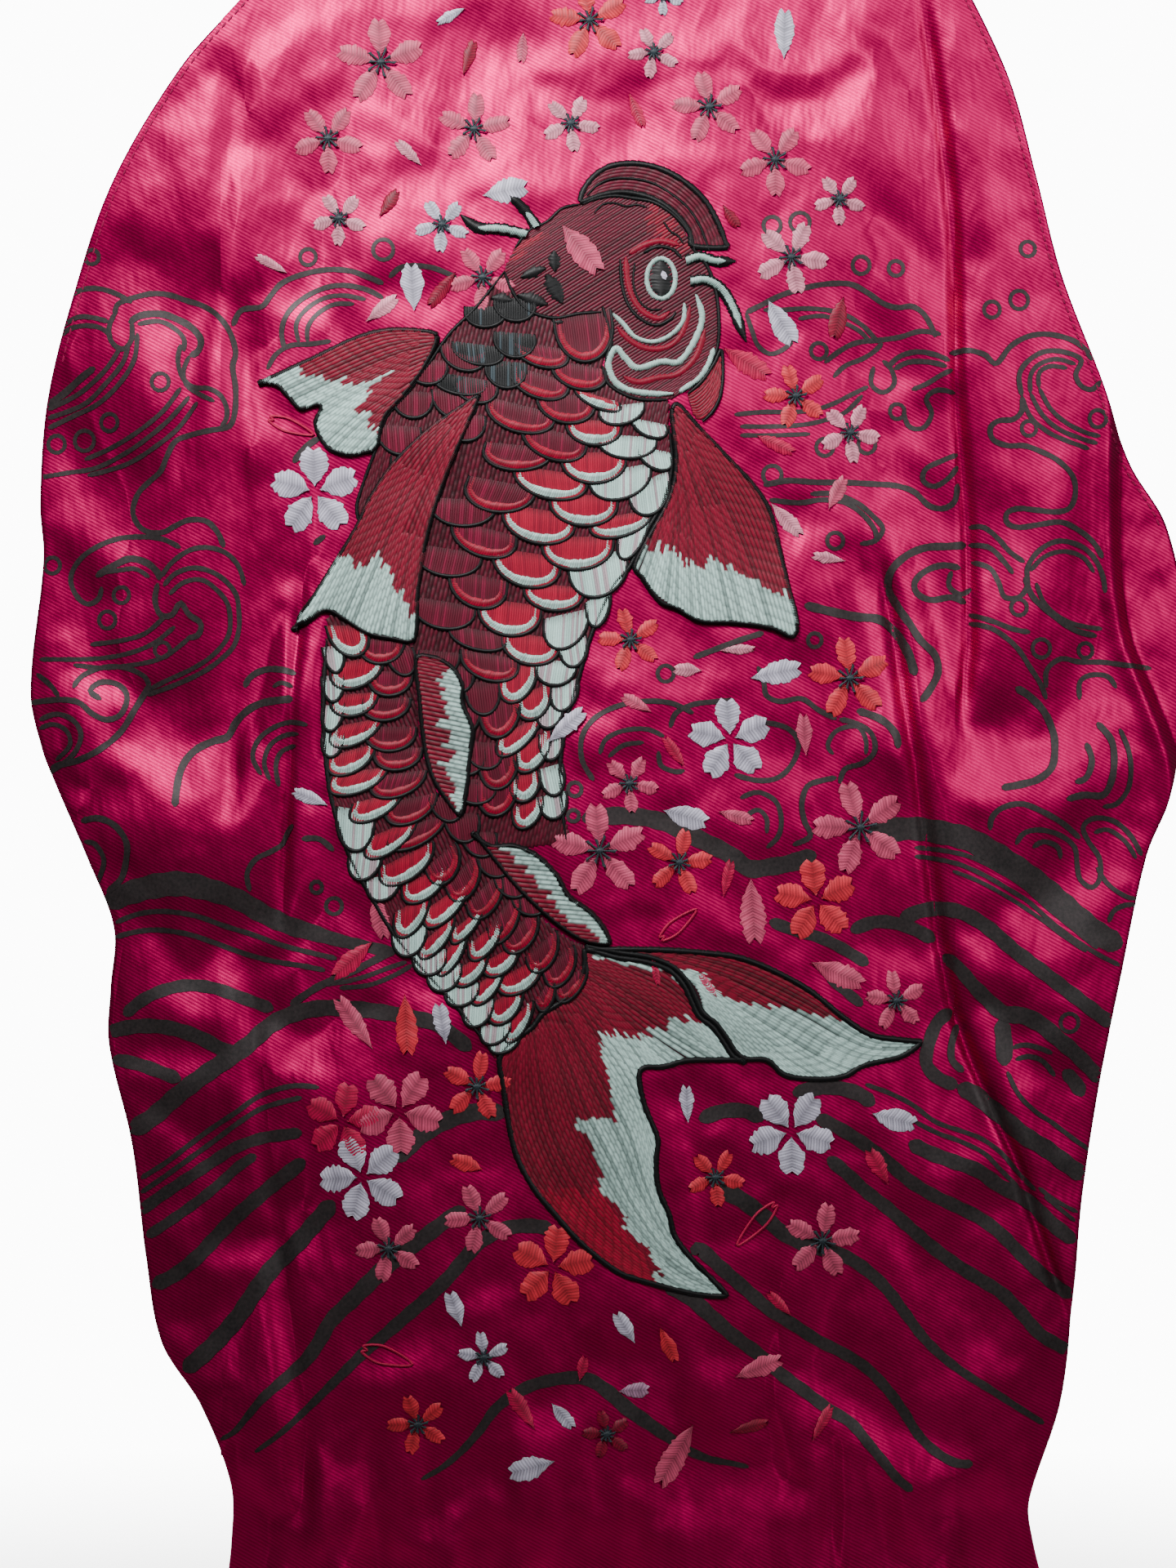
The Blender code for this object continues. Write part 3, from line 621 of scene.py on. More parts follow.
def lining_field():
    """Smooth cloth behind the satin, pushed back wherever the satin reaches it."""
    u, v = np.meshgrid(GRID_U, GRID_V)
    across = 1 - np.minimum(1.0, np.abs(u) / (FOLD_U - 1)) ** 8
    middle = 0.5 * (NECK_V + WAIST_V)
    upward = 1 - np.minimum(1.0, np.abs(v - middle) / (middle - WAIST_V - 4)) ** 8
    loose = across * np.clip(upward, 0, 1)
    waves = 1.5 * noise(34, 80, 21) + 0.8 * noise(17, 40, 22) + 0.35 * noise(8, 16, 23)
    hang = cloth.base + LINING_GAP + 0.4 + LINING_BULGE * loose + waves * (0.35 + 0.65 * loose)
    over_facing = np.clip((WAIST_V + HEM_HEIGHT + 6 - v) / 6, 0, 1)
    return np.maximum(hang, cloth.rear + LINING_GAP + 1.1 * loose + 1.0 + 1.6 * over_facing)


def inset_span(span, left, right):
    def pulled(v):
        low, high = span(v)
        return low + left, high - right
    return pulled


def add_lining():
    material = satin_material("magenta_lining", srgb(96, 8, 40), srgb(132, 14, 58), 0.46, 0.2, 30.0)
    field = lining_field()
    seam = BINDING_WIDTH + BINDING_INSET
    spans = {"centre": (inset_span(centre_span, 0.3, 0.3), WAIST_V + HEM_HEIGHT - 4,
                        NECK_V - TAPE_HEIGHT + TUCK),
             "left": (inset_span(left_span, seam - 2, 0.3), LEFT_SIDE[0] + 88, LEFT_SIDE[1] - 47),
             "right": (inset_span(right_span, 0.3, seam - 2), RIGHT_SIDE[0] + 64, RIGHT_SIDE[1] - 52)}
    for side, (span, low, high) in spans.items():
        piece = sheet(f"lining_{side}_panel", span, low, high, LINING_STEP, material, field)
        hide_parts(f"lining_{side}")
        if side == "centre":
            hang_from_tape(piece)
        else:
            ride_side(piece)
        declare_sheet(piece, span, low, high, f"satin_{side}")


def slab(name, span, low_v, high_v, step, depths, material):
    """Closed strip of cloth: a front and a back layer joined round the rim."""
    v = np.linspace(low_v, high_v, max(3, int((high_v - low_v) / step) + 1))
    low, high = span(v)
    count = max(3, int((high - low).max() / step) + 1)
    u = low[:, None] + (high - low)[:, None] * np.linspace(0, 1, count)
    vv = np.repeat(v[:, None], count, axis=1)
    layers = [np.stack([u, cloth.sample(cloth.rear, u, vv) + depth, vv - NECK_V], axis=-1) * MM
              for depth in depths]
    rows = len(v)
    front = grid_faces(rows, count)
    back = grid_faces(rows, count, rows * count)[:, ::-1]
    ring = np.r_[np.arange(count), count - 1 + count * np.arange(1, rows),
                 (rows - 1) * count + np.arange(count - 1)[::-1], count * np.arange(1, rows - 1)[::-1]]
    following = np.roll(ring, -1)
    rim = np.stack([ring, ring + rows * count, following + rows * count, following], axis=1)
    made = mesh_object(name, np.concatenate([p.reshape(-1, 3) for p in layers]),
                       np.concatenate([front, back, rim]), material)
    made.data.set_sharp_from_angle(angle=math.radians(50))
    return made


def add_inner_layers():
    binding = woven_material("binding_tape", srgb(150, 12, 62), srgb(186, 20, 84), 0.5, 0.0009)
    nonwoven = woven_material("backing_fleece", srgb(196, 196, 190), srgb(226, 226, 220), 0.85, 0.0012)
    elastic = woven_material("elastic_rib", srgb(170, 168, 162), srgb(205, 203, 196), 0.75, 0.0015)
    backing = slab("backing_fleece_layer", inset_span(centre_span, 10, 10), 60.0, CLOTH_TOP - 10, 3.0,
                   (0.7, 1.0), nonwoven)
    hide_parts("embroidery_backing")
    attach(backing, "back_panel")
    rib = slab("elastic_band", inset_span(centre_span, 1.5, 1.5), WAIST_V + 3, WAIST_V + HEM_HEIGHT - 3, 1.2,
               (0.8, 1.5), elastic)
    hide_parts("waist_elastic")
    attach(rib, "back_panel")
    facing = slab("waist_facing_strip", inset_span(centre_span, 0.5, 0.5), WAIST_V + 0.8,
                  WAIST_V + HEM_HEIGHT, 1.6, (2.5, 2.9), binding)
    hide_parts("waist_facing")
    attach(facing, "back_panel")
    for side, edge, sign, (low, high) in (("left", left_edge, -1, LEFT_SIDE),
                                          ("right", right_edge, 1, RIGHT_SIDE)):
        def band(v, edge=edge, sign=sign):
            near, far = edge(v) - sign * BINDING_WIDTH, edge(v) - sign * BINDING_INSET
            return np.minimum(near, far), np.maximum(near, far)
        strip = slab(f"seam_binding_{side}_strip", band, low + (88 if side == "left" else 64), high - 50, 1.8,
                     (2.5, 2.9), binding)
        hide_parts(f"seam_binding_{side}")
        ride_side(strip)


def add_neck_tape():
    """Folded tape with rounded long edges and two rows of stitches."""
    material = woven_material("neck_tape_weave", srgb(170, 14, 76), srgb(206, 22, 100), 0.45, 0.0008)
    half, round_off = TAPE_THICKNESS / 2, 1.1
    corner = np.linspace(0, math.pi / 2, 5)
    profile = []
    for y_sign, v_sign, angles in ((-1, -1, corner), (1, -1, corner[::-1]), (1, 1, corner),
                                   (-1, 1, corner[::-1])):
        for angle in angles:
            y = y_sign * (half - round_off + round_off * math.cos(angle))
            v = v_sign * (TAPE_HEIGHT / 2 - round_off + round_off * math.sin(angle))
            profile.append((y, v - TAPE_HEIGHT / 2))
    profile = np.array(profile)
    along = np.linspace(TAPE_LEFT, TAPE_RIGHT, 120)
    swell = 1 - 0.25 * (np.abs(np.linspace(-1, 1, 120)) > 0.985)
    wobble = 0.05 * np.sin(along * 0.9) + 0.04 * np.sin(along * 2.3)
    middle = profile.mean(axis=0)
    points = np.stack([np.repeat(along[:, None], len(profile), axis=1),
                       middle[0] + (profile[:, 0] - middle[0])[None, :] * swell[:, None] + wobble[:, None],
                       middle[1] + (profile[:, 1] - middle[1])[None, :] * swell[:, None]], axis=-1) * MM
    count = len(profile)
    sides = []
    for i in range(len(along) - 1):
        for k in range(count):
            following = (k + 1) % count
            sides.append((i * count + k, (i + 1) * count + k, (i + 1) * count + following,
                          i * count + following))
    tape = mesh_object("neck_tape_band", points, sides, material)
    builder = bmesh.new()
    builder.from_mesh(tape.data)
    bmesh.ops.holes_fill(builder, edges=builder.edges)
    bmesh.ops.recalc_face_normals(builder, faces=builder.faces)
    builder.to_mesh(tape.data)
    builder.free()
    tape.data.set_sharp_from_angle(angle=math.radians(60))
    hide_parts("neck_tape")
    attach(tape, "neck_edge_tape")


# ---------------------------------------------------------------- thread work

THREAD = thread_material()
ACROSS = np.array([-1.0, -0.6, 0.0, 0.6, 1.0])
CROWN = np.array([0.0, 0.74, 1.0, 0.74, 0.0])


class Threads:
    """Collects stitches as strips of small faces, with a colour at every point that also holds painted shade.
    """

    def __init__(self, seed):
        self.rng = np.random.RandomState(seed)
        self.points, self.faces, self.colours, self.count = [], [], [], 0
        self.triangles = []

    def strip(self, u, v, height, colours):
        """Grid of points (n, m) given by u, v and height, with (n, m, 3) colours."""
        rows, columns = u.shape
        self.points.append(cloth.lift(u, v, height).reshape(-1, 3))
        self.colours.append(np.broadcast_to(colours, (rows, columns, 3)).reshape(-1, 3))
        self.faces.append(grid_faces(rows, columns, self.count))
        self.count += rows * columns

    def shade(self, colour, count, spread=0.1):
        """The colour once for each of count stitches, a little lighter or darker each time."""
        return np.asarray(colour) * (1 + self.rng.uniform(-spread, spread, (count, 1)))

    def column(self, path, half_width, crown, colour, base=0.2, pitch=0.55, slant=0.5, chevron=0.0,
               crease=0.0, contrast=0.1):
        """Satin-stitch column: short threads lie side by side across a route.

        half_width, crown and base are numbers or (place along, value) lists. The sides run ahead of the
        middle by chevron, and the middle lies lower by the part crease."""
        path = evenly(np.asarray(path, float), pitch / 2)
        count = len(path)
        place = np.linspace(0, 1, count)
        half = half_width if np.isscalar(half_width) else np.interp(place, *np.array(half_width, float).T)
        top = crown if np.isscalar(crown) else np.interp(place, *np.array(crown, float).T)
        low = base if np.isscalar(base) else np.interp(place, *np.array(base, float).T)
        half, top, low = (np.broadcast_to(x, count) for x in (half, top, low))
        stitch = np.arange(count) // 2
        jitter = self.rng.uniform(0.86, 1.1, stitch[-1] + 1)[stitch]
        groove = np.where(np.arange(count) % 2, 0.62, 1.0)
        normal, along = sideways(path), tangents(path)
        reach = (half * jitter)[:, None] * ACROSS
        lean = slant * pitch * ACROSS + chevron * np.abs(ACROSS)
        u = path[:, 0:1] + normal[:, 0:1] * reach + along[:, 0:1] * lean
        v = path[:, 1:2] + normal[:, 1:2] * reach + along[:, 1:2] * lean
        height = low[:, None] + (top * groove)[:, None] * CROWN * (1 - crease * (ACROSS == 0))
        shades = self.shade(colour, stitch[-1] + 1, contrast)[stitch]
        # Painted shade: every second half stitch, which lies lower in the groove, is at half its colour, and
        # the middle line is darker by twice the contrast, as shade along the crease that petals have there.
        shades = shades * np.where(groove < 1, 0.5, 1.0)[:, None]
        shades = shades[:, None] * (1 - 2 * contrast * (ACROSS == 0))[:, None]
        self.strip(u, v, height, shades)

    def rows(self, outline, guides, pitch, base, crown, colour_at, stitch=4.2, width=0.62, sample=0.8):
        """Long parallel or fanned rows of stitches inside an outline, between guide curves."""
        guides = np.stack([resampled(catmull(g), 160) for g in guides])
        spans = len(guides) - 1
        gaps = np.linalg.norm(np.diff(guides, axis=0), axis=2).max(axis=1)
        per_span = np.maximum(2, np.ceil(gaps / pitch).astype(int))
        ts = np.concatenate([i + np.arange(n) / n for i, n in enumerate(per_span)] + [[spans]])
        for number, t in enumerate(ts):
            i = min(int(t), spans - 1)
            a, b, c, d = (guides[min(max(i + k, 0), spans)] for k in (-1, 0, 1, 2))
            f = t - i
            line = 0.5 * (2 * b + (c - a) * f + (2 * a - 5 * b + 4 * c - d) * f**2
                          + (3 * b - a - 3 * c + d) * f**3)
            near = np.linalg.norm(c - b, axis=1) / per_span[i]
            keep_every = 2 ** np.clip(np.floor(np.log2(np.maximum(pitch / np.maximum(near, 1e-3), 1))), 0, 5)
            line_kept = number % keep_every == 0
            lengths = np.r_[0, np.cumsum(np.linalg.norm(np.diff(line, axis=0), axis=1))]
            at = np.arange(0, lengths[-1], sample)
            if len(at) < 3:
                continue
            fine = np.stack([np.interp(at, lengths, line[:, k]) for k in (0, 1)], axis=1)
            kept = inside(fine, outline) & (np.interp(at, lengths, line_kept.astype(float)) > 0.5)
            self.runs(fine, at, kept, number, base, crown, colour_at, stitch, width)

    def runs(self, line, at, kept, number, base, crown, colour_at, stitch, width):
        edges = np.flatnonzero(np.diff(np.r_[0, kept.astype(int), 0]))
        for start, end in zip(edges[::2], edges[1::2]):
            if end - start < 3:
                continue
            part, where = line[start:end], at[start:end]
            shift = stitch * (0.37 * number % 1.0) + self.rng.uniform(-0.4, 0.4)
            dip = np.abs(np.cos(math.pi * (where + shift) / stitch)) ** 10
            level = crown * (1 - 0.6 * dip)
            level[[0, -1]] *= 0.3
            normal = sideways(part)
            reach = width * np.array([-1.0, 0.0, 1.0])
            u = part[:, 0:1] + normal[:, 0:1] * reach
            v = part[:, 1:2] + normal[:, 1:2] * reach
            shift_along = tangents(part) * self.rng.uniform(-2.6, 2.6)
            # Painted shade: some rows, picked by a fixed count, are darker as grooves between groups of rows;
            # each row darkens where it dips at its stitch ends, and its sides are at 0.3 of its colour for
            # the gaps between rows.
            ridge = 0.62 if number * 7 % 19 < 4 else 1.0
            colours = colour_at(part + shift_along) * (ridge + self.rng.uniform(-0.14, 0.14))
            colours = colours * (1 - 0.45 * dip)[:, None]
            rim = colours * 0.3
            low = base if np.isscalar(base) else base(part[:, 0], part[:, 1])
            height = np.stack([low + 0 * level, low + level, low + 0 * level], axis=1)
            self.strip(u, v, height, np.stack([rim, colours, rim], axis=1))

    def patch(self, outline, height, colour, spacing=4.0):
        """Ground under the rows, filling the outline; its dark colour is painted shade for the gaps between
        the rows.
        """
        outline = evenly(np.vstack([outline, outline[:1]]), 1.6)[:-1]
        low, high = outline.min(axis=0), outline.max(axis=0)
        gu, gv = np.meshgrid(np.arange(low[0], high[0], spacing), np.arange(low[1], high[1], spacing))
        gu = gu + 0.5 * spacing * (np.arange(len(gu)) % 2)[:, None]
        grid = np.stack([gu.reshape(-1), gv.reshape(-1)], axis=1)
        grid = grid[inside(grid, outline)]
        clear = []
        if len(grid):
            clear = np.linalg.norm(grid[:, None] - outline[None], axis=2).min(axis=1) > 0.3 * spacing
        grid = grid[clear] if len(grid) else grid
        ring = [Vector(p) for p in outline]
        sides = [(i, (i + 1) % len(ring)) for i in range(len(ring))]
        points, _, faces, *_ = delaunay_2d_cdt(ring + [Vector(p) for p in grid], sides, [], 1, 1e-5)
        flat = np.array([tuple(p) for p in points])
        self.points.append(cloth.lift(flat[:, 0], flat[:, 1], height))
        self.colours.append(np.broadcast_to(np.asarray(colour), (len(flat), 3)))
        corners = np.array([f for f in faces if len(f) == 3])
        a, b, c = flat[corners[:, 0]], flat[corners[:, 1]], flat[corners[:, 2]]
        turned = np.cross(b - a, c - a) < 0
        corners[turned] = corners[turned][:, ::-1]
        self.triangles.append(corners + self.count)
        self.count += len(flat)

    def finish(self, name, slot, replaced=(), body="back_panel"):
        quads = np.concatenate(self.faces) if self.faces else np.zeros((0, 4), int)
        triangles = np.concatenate(self.triangles) if self.triangles else None
        made = mesh_object(name, np.concatenate(self.points), quads, THREAD, triangles)
        colours = np.concatenate(self.colours)
        layer = made.data.color_attributes.new("thread_colour_and_shade", "FLOAT_COLOR", "POINT")
        layer.data.foreach_set("color", np.c_[np.clip(colours, 0, 1),
                                              np.ones(len(colours))].astype(np.float32).reshape(-1))
        if replaced:
            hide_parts(*replaced)
        if body:
            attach(made, body)
        return made


def resampled(path, count):
    lengths = np.r_[0, np.cumsum(np.linalg.norm(np.diff(path, axis=0), axis=1))]
    at = np.linspace(0, lengths[-1], count)
    return np.stack([np.interp(at, lengths, path[:, k]) for k in (0, 1)], axis=1)


def straight_guides(outline, angle):
    """Two parallel guides at an angle that together cover an outline."""
    turn = math.radians(angle)
    along, across = np.array([math.cos(turn), math.sin(turn)]), np.array([-math.sin(turn), math.cos(turn)])
    run, side = outline @ along, outline @ across
    ends = [run.min() - 1, run.max() + 1]
    return [[tuple(along * e + across * s) for e in (ends[0], sum(ends) / 2, ends[1])]
            for s in (side.min() - 1, side.max() + 1)]


def plain(colour):
    return lambda points: np.repeat(np.asarray(colour)[None], len(points), axis=0)


def zoned(base, zones):
    """Colours of points: the base colour, or that of the last zone polygon they are in."""
    shapes = [(np.array(outline, float), np.asarray(colour)) for outline, colour in zones]

    def colour_at(points):
        colours = np.repeat(np.asarray(base, float)[None], len(points), axis=0)
        for outline, colour in shapes:
            colours[inside(points, outline)] = colour
        return colours
    return colour_at


# ---------------------------------------------------------------- printed waves

# Strokes: (widths from start to end, (u, v) points)
LEFT_UPPER_WAVES = [
    ((1.8,), [(-180, 437), (-174, 439.5), (-168, 439.5), (-162, 437.5), (-157, 434.5)]),
    ((1.9,), [(-163, 430), (-162, 434), (-157, 436), (-150, 437.5), (-144, 437), (-138, 435), (-132, 433),
              (-127, 429.5), (-123, 424), (-121, 417), (-122, 412), (-121, 405), (-121, 398), (-122, 393),
              (-124, 391), (-130, 390), (-137, 388.5), (-142, 386.5), (-145, 381), (-147, 376.5), (-151, 373),
              (-155, 369), (-157, 363), (-155, 358), (-151, 355.5), (-146, 355.5), (-142, 357.5),
              (-137, 359.5), (-131, 359), (-127, 355), (-125, 350)]),
    ((1.8,), [(-163, 431), (-165, 426), (-164, 421), (-160, 418.5), (-157, 422), (-157, 428)]),
    ((2.5,), [(-170, 412.5), (-175, 409), (-181, 404), (-187, 400)]),
    ((1.7,), [(-161, 419), (-165, 413), (-170, 408), (-177, 403), (-187, 398.5)]),
    ((1.7,), [(-158, 421), (-160, 414), (-166, 407), (-174, 400), (-187, 395.5)]),
    ((1.7,), [(-155, 424), (-156, 415), (-161, 407), (-169, 400), (-178, 396), (-187, 392)]),
    ((1.7,), [(-182, 427), (-176, 430), (-170, 429.5), (-165, 428)]),
    ((1.7,), [(-184, 421), (-180, 425.5), (-174, 427), (-168, 426), (-164, 423)]),
    ((2.4,), [(-158, 427.5), (-154, 430), (-147, 430.5), (-141, 428.5), (-136, 425.5), (-133, 421.5),
              (-134, 417.5), (-137, 416)]),
    ((1.7,), [(-155, 427), (-148, 428), (-143, 426), (-139, 422), (-139, 417.5)]),
    ((1.7,), [(-140, 420), (-141, 414), (-139, 408), (-135, 405), (-130, 404.5), (-126, 402), (-124, 398),
              (-124, 394), (-126, 391)]),
    ((1.6,), [(-137, 416), (-139, 411), (-138, 406), (-134, 403), (-128, 400)]),
    ((1.6,), [(-140, 405), (-146, 397), (-155, 390), (-165, 384.5), (-174, 381)]),
    ((1.6,), [(-137, 402), (-144, 394), (-152, 387.5), (-160, 382.5), (-170, 378), (-180, 376.5),
              (-190, 375)]),
    ((1.6,), [(-134, 400), (-141, 391), (-150, 384), (-158, 379.5), (-166, 377), (-173, 375.5)]),
    ((1.8,), [(-168, 337), (-169, 333), (-173, 331), (-177, 334), (-179, 340), (-176, 346), (-170, 350.5),
              (-162, 353.5), (-153, 354), (-146, 353), (-140, 350)]),
    ((2.4,), [(-170, 340.5), (-164, 344), (-158, 346.5), (-152, 345), (-148, 341.5), (-147.5, 339)]),
    ((1.6,), [(-168, 342), (-162, 342.5), (-156, 343), (-151, 340)]),
    ((1.7,), [(-147, 340), (-143, 345), (-137, 349), (-131, 350), (-125, 348.5), (-121, 345), (-119, 341),
              (-118, 337)]),
    ((1.7,), [(-146, 337), (-142, 341), (-136, 343), (-130, 342), (-125, 339), (-121, 334), (-120, 328),
              (-120, 322), (-122, 316), (-127, 311), (-133, 307), (-142, 303), (-152, 299.5)]),
    ((1.6,), [(-144, 334), (-139, 338), (-133, 339), (-128, 336), (-124, 331), (-123, 325), (-124, 319),
              (-129, 313), (-136, 308.5), (-145, 304.5), (-152, 301)]),
    ((2.0,), [(-148, 338), (-149, 332), (-147, 327), (-143, 327), (-140, 331), (-137, 327), (-133, 324),
              (-134, 320), (-138, 319)]),
    ((1.6,), [(-145, 327), (-152, 321), (-160, 318.5), (-172, 317)]),
    ((1.6,), [(-142, 323), (-150, 317), (-160, 313.5), (-172, 312), (-190, 312)]),
    ((1.6,), [(-137, 319), (-146, 312.5), (-156, 310), (-168, 309), (-178, 310)]),
    ((1.8,), [(-178, 302), (-175, 306), (-168, 309), (-160, 309), (-153, 306), (-151, 302)]),
    ((2.0,), [(-193, 297), (-183, 298), (-176, 297), (-171, 293), (-166, 291), (-161, 293), (-159, 299),
              (-162, 303), (-168, 304), (-172, 301), (-168, 298)]),
    ((2.2,), [(-151, 303), (-156, 295), (-161, 287), (-168, 281), (-176, 277), (-184, 275), (-187, 272)]),
    ((1.8,), [(-191, 307), (-186, 303), (-183, 299)]),
    ((1.8,), [(-190, 291), (-184, 293), (-178, 291), (-175, 286), (-177, 280), (-182, 275.5), (-188, 272)]),
    ((1.6,), [(-190, 288), (-185, 289.5), (-180, 287), (-179, 282), (-184, 277)]),
    ((2.6,), [(-142, 261), (-141, 270), (-139, 276), (-135, 280.5), (-129, 283.5), (-124, 285), (-121, 290),
              (-117, 294), (-112, 296.5), (-106, 297.5), (-101, 298)]),
    ((2.2,), [(-118, 302), (-116, 305.5), (-111, 308), (-105, 308), (-100, 306.5)]),
    ((1.6,), [(-108, 302), (-105, 303.5), (-101, 302)]),
    ((1.7,), [(-112, 272), (-115, 278), (-113, 284), (-108, 288), (-102, 290), (-96, 289)]),
    ((1.6,), [(-109, 270), (-111, 276), (-109, 282), (-104, 285.5), (-99, 286)]),
    ((1.6,), [(-106, 268), (-107, 275), (-105, 280), (-100, 282)]),
    ((1.9,), [(-122, 426), (-119, 431.5), (-112, 432.5), (-109, 436), (-105, 440.5), (-98, 443.5), (-90, 445),
              (-82, 444.5), (-76, 442.5), (-70, 440)]),
    ((1.8,), [(-104, 418), (-105, 424), (-103, 430), (-98, 435), (-91, 438.5), (-84, 439.5), (-76, 438),
              (-70, 435)]),
    ((1.6,), [(-99, 420), (-100, 426), (-97, 431), (-91, 435), (-84, 436), (-76, 434.5)]),
    ((1.6,), [(-96, 420), (-96, 425), (-93, 429.5), (-87, 433), (-80, 433)]),
    ((1.7,), [(-110, 411), (-107, 416), (-102, 419), (-95, 419.5), (-88, 420.5)]),
    ((1.8,), [(-68, 442), (-64, 445.5), (-58, 446), (-52, 445), (-45, 442)]),
    ((2.2,), [(-101, 379), (-97, 384), (-92, 387.5)]),
    ((2.0,), [(-94, 351), (-90, 354)]),
]
LEFT_LOWER_WAVES = [
    ((2.2,), [(-175, 256), (-169, 257), (-163, 254.5), (-159, 249), (-159, 243), (-161, 236), (-166, 231.5)]),
    ((1.8,), [(-174, 249), (-170, 248), (-167, 243), (-168, 238), (-170, 234)]),
    ((7, 8, 8.5, 8.5, 7.5, 7, 6.5, 6, 4.5, 4, 4),
     [(-167, 227), (-160, 230.5), (-150, 233.5), (-140, 234.5), (-130, 232.5), (-120, 229), (-112, 224.5),
      (-103, 220.5), (-93, 217.5), (-84, 215), (-66, 211)]),
    ((1.8,), [(-163, 221), (-155, 224), (-146, 225), (-135, 223.5), (-125, 220), (-115, 217), (-105, 213.5),
              (-95, 211), (-86, 209)]),
    ((1.8,), [(-163, 216), (-155, 218), (-147, 218.5), (-137, 217), (-128, 214), (-118, 210.5), (-108, 208),
              (-98, 206.5), (-90, 205)]),
    ((4.2,), [(-160, 189), (-154, 194), (-147, 197.5), (-138, 199.5), (-128, 198.5), (-118, 195),
              (-108, 191.5)]),
    ((5,), [(-166, 183), (-158, 185), (-150, 185.5), (-142, 184.5), (-133, 181.5), (-125, 177.5),
            (-119, 176)]),
    ((4.5,), [(-164, 174), (-156, 172.5), (-148, 170), (-140, 167)]),
    ((6.5, 5), [(-158, 149), (-150, 154), (-142, 161), (-133, 168), (-125, 173.5), (-117, 179), (-109, 186),
                (-101, 190), (-92, 192), (-82, 192), (-72, 191), (-60, 189), (-52, 187), (-46, 183),
                (-40, 178)]),
    ((2.5,), [(-102, 193), (-94, 198.5), (-88, 201.5), (-80, 205), (-72, 209), (-66, 212)]),
    ((1.6,), [(-92, 200), (-84, 201), (-76, 203), (-68, 206), (-62, 208)]),
    ((1.6,), [(-85, 199), (-75, 200), (-66, 203.5), (-60, 207)]),
    ((1.8,), [(-154, 133), (-146, 138), (-138, 144), (-130, 150), (-121, 156), (-114, 161), (-107, 164),
              (-100, 165.5), (-92, 165)]),
    ((1.8,), [(-154, 128), (-146, 133.5), (-137, 140), (-128, 146.5), (-120, 152.5), (-113, 157),
              (-106, 159.5), (-98, 161.5)]),
    ((4,), [(-155, 121), (-147, 127), (-138, 133), (-129, 139), (-121, 144), (-113, 147), (-105, 148.5),
            (-98, 149.5)]),
    ((3.5,), [(-152, 113), (-143, 119), (-134, 125.5), (-126, 132), (-120, 137.5), (-114, 141.5)]),
    ((5,), [(-150, 96), (-142, 100), (-134, 106.5), (-127, 114), (-120, 121), (-112, 128), (-104, 134.5),
            (-97, 140)]),
    ((6,), [(-139, 67), (-132, 73), (-126, 79), (-120, 86), (-114, 95), (-108, 103), (-100, 111), (-93, 119),
            (-87, 126)]),
    ((6,), [(-66, 140), (-58, 148), (-50, 153), (-42, 156), (-35, 157), (-28, 156)]),
    ((1.5, 4.5, 6, 5), [(-126, 44), (-121, 47), (-116, 53), (-111, 59), (-104, 65), (-97, 71), (-92, 78),
                        (-88, 85), (-80, 93), (-72, 101), (-64, 108), (-56, 114), (-48, 120), (-42, 124)]),
    ((1.5, 4.5, 5), [(-114, 40), (-106, 46), (-98, 53), (-91, 60), (-84, 67), (-77, 74), (-70, 80), (-62, 87),
                     (-54, 94), (-47, 101), (-42, 107), (-36, 113), (-28, 117), (-20, 118), (-12, 117)]),
    ((1.5, 4, 5, 1.5), [(-57, 31), (-50, 35), (-43, 41), (-37, 48), (-32, 55), (-26, 60), (-18, 64), (-8, 66),
                        (0, 65.5), (6, 62), (13, 56), (20, 51), (27, 46), (34, 41), (41, 38), (48, 36.5),
                        (55, 35)]),
    ((1.8,), [(-116, 232), (-117, 238), (-114, 243), (-109, 245.5), (-105, 248), (-103, 252), (-101, 255)]),
    ((2.0,), [(-98, 250), (-92, 250), (-87, 246)]),
]
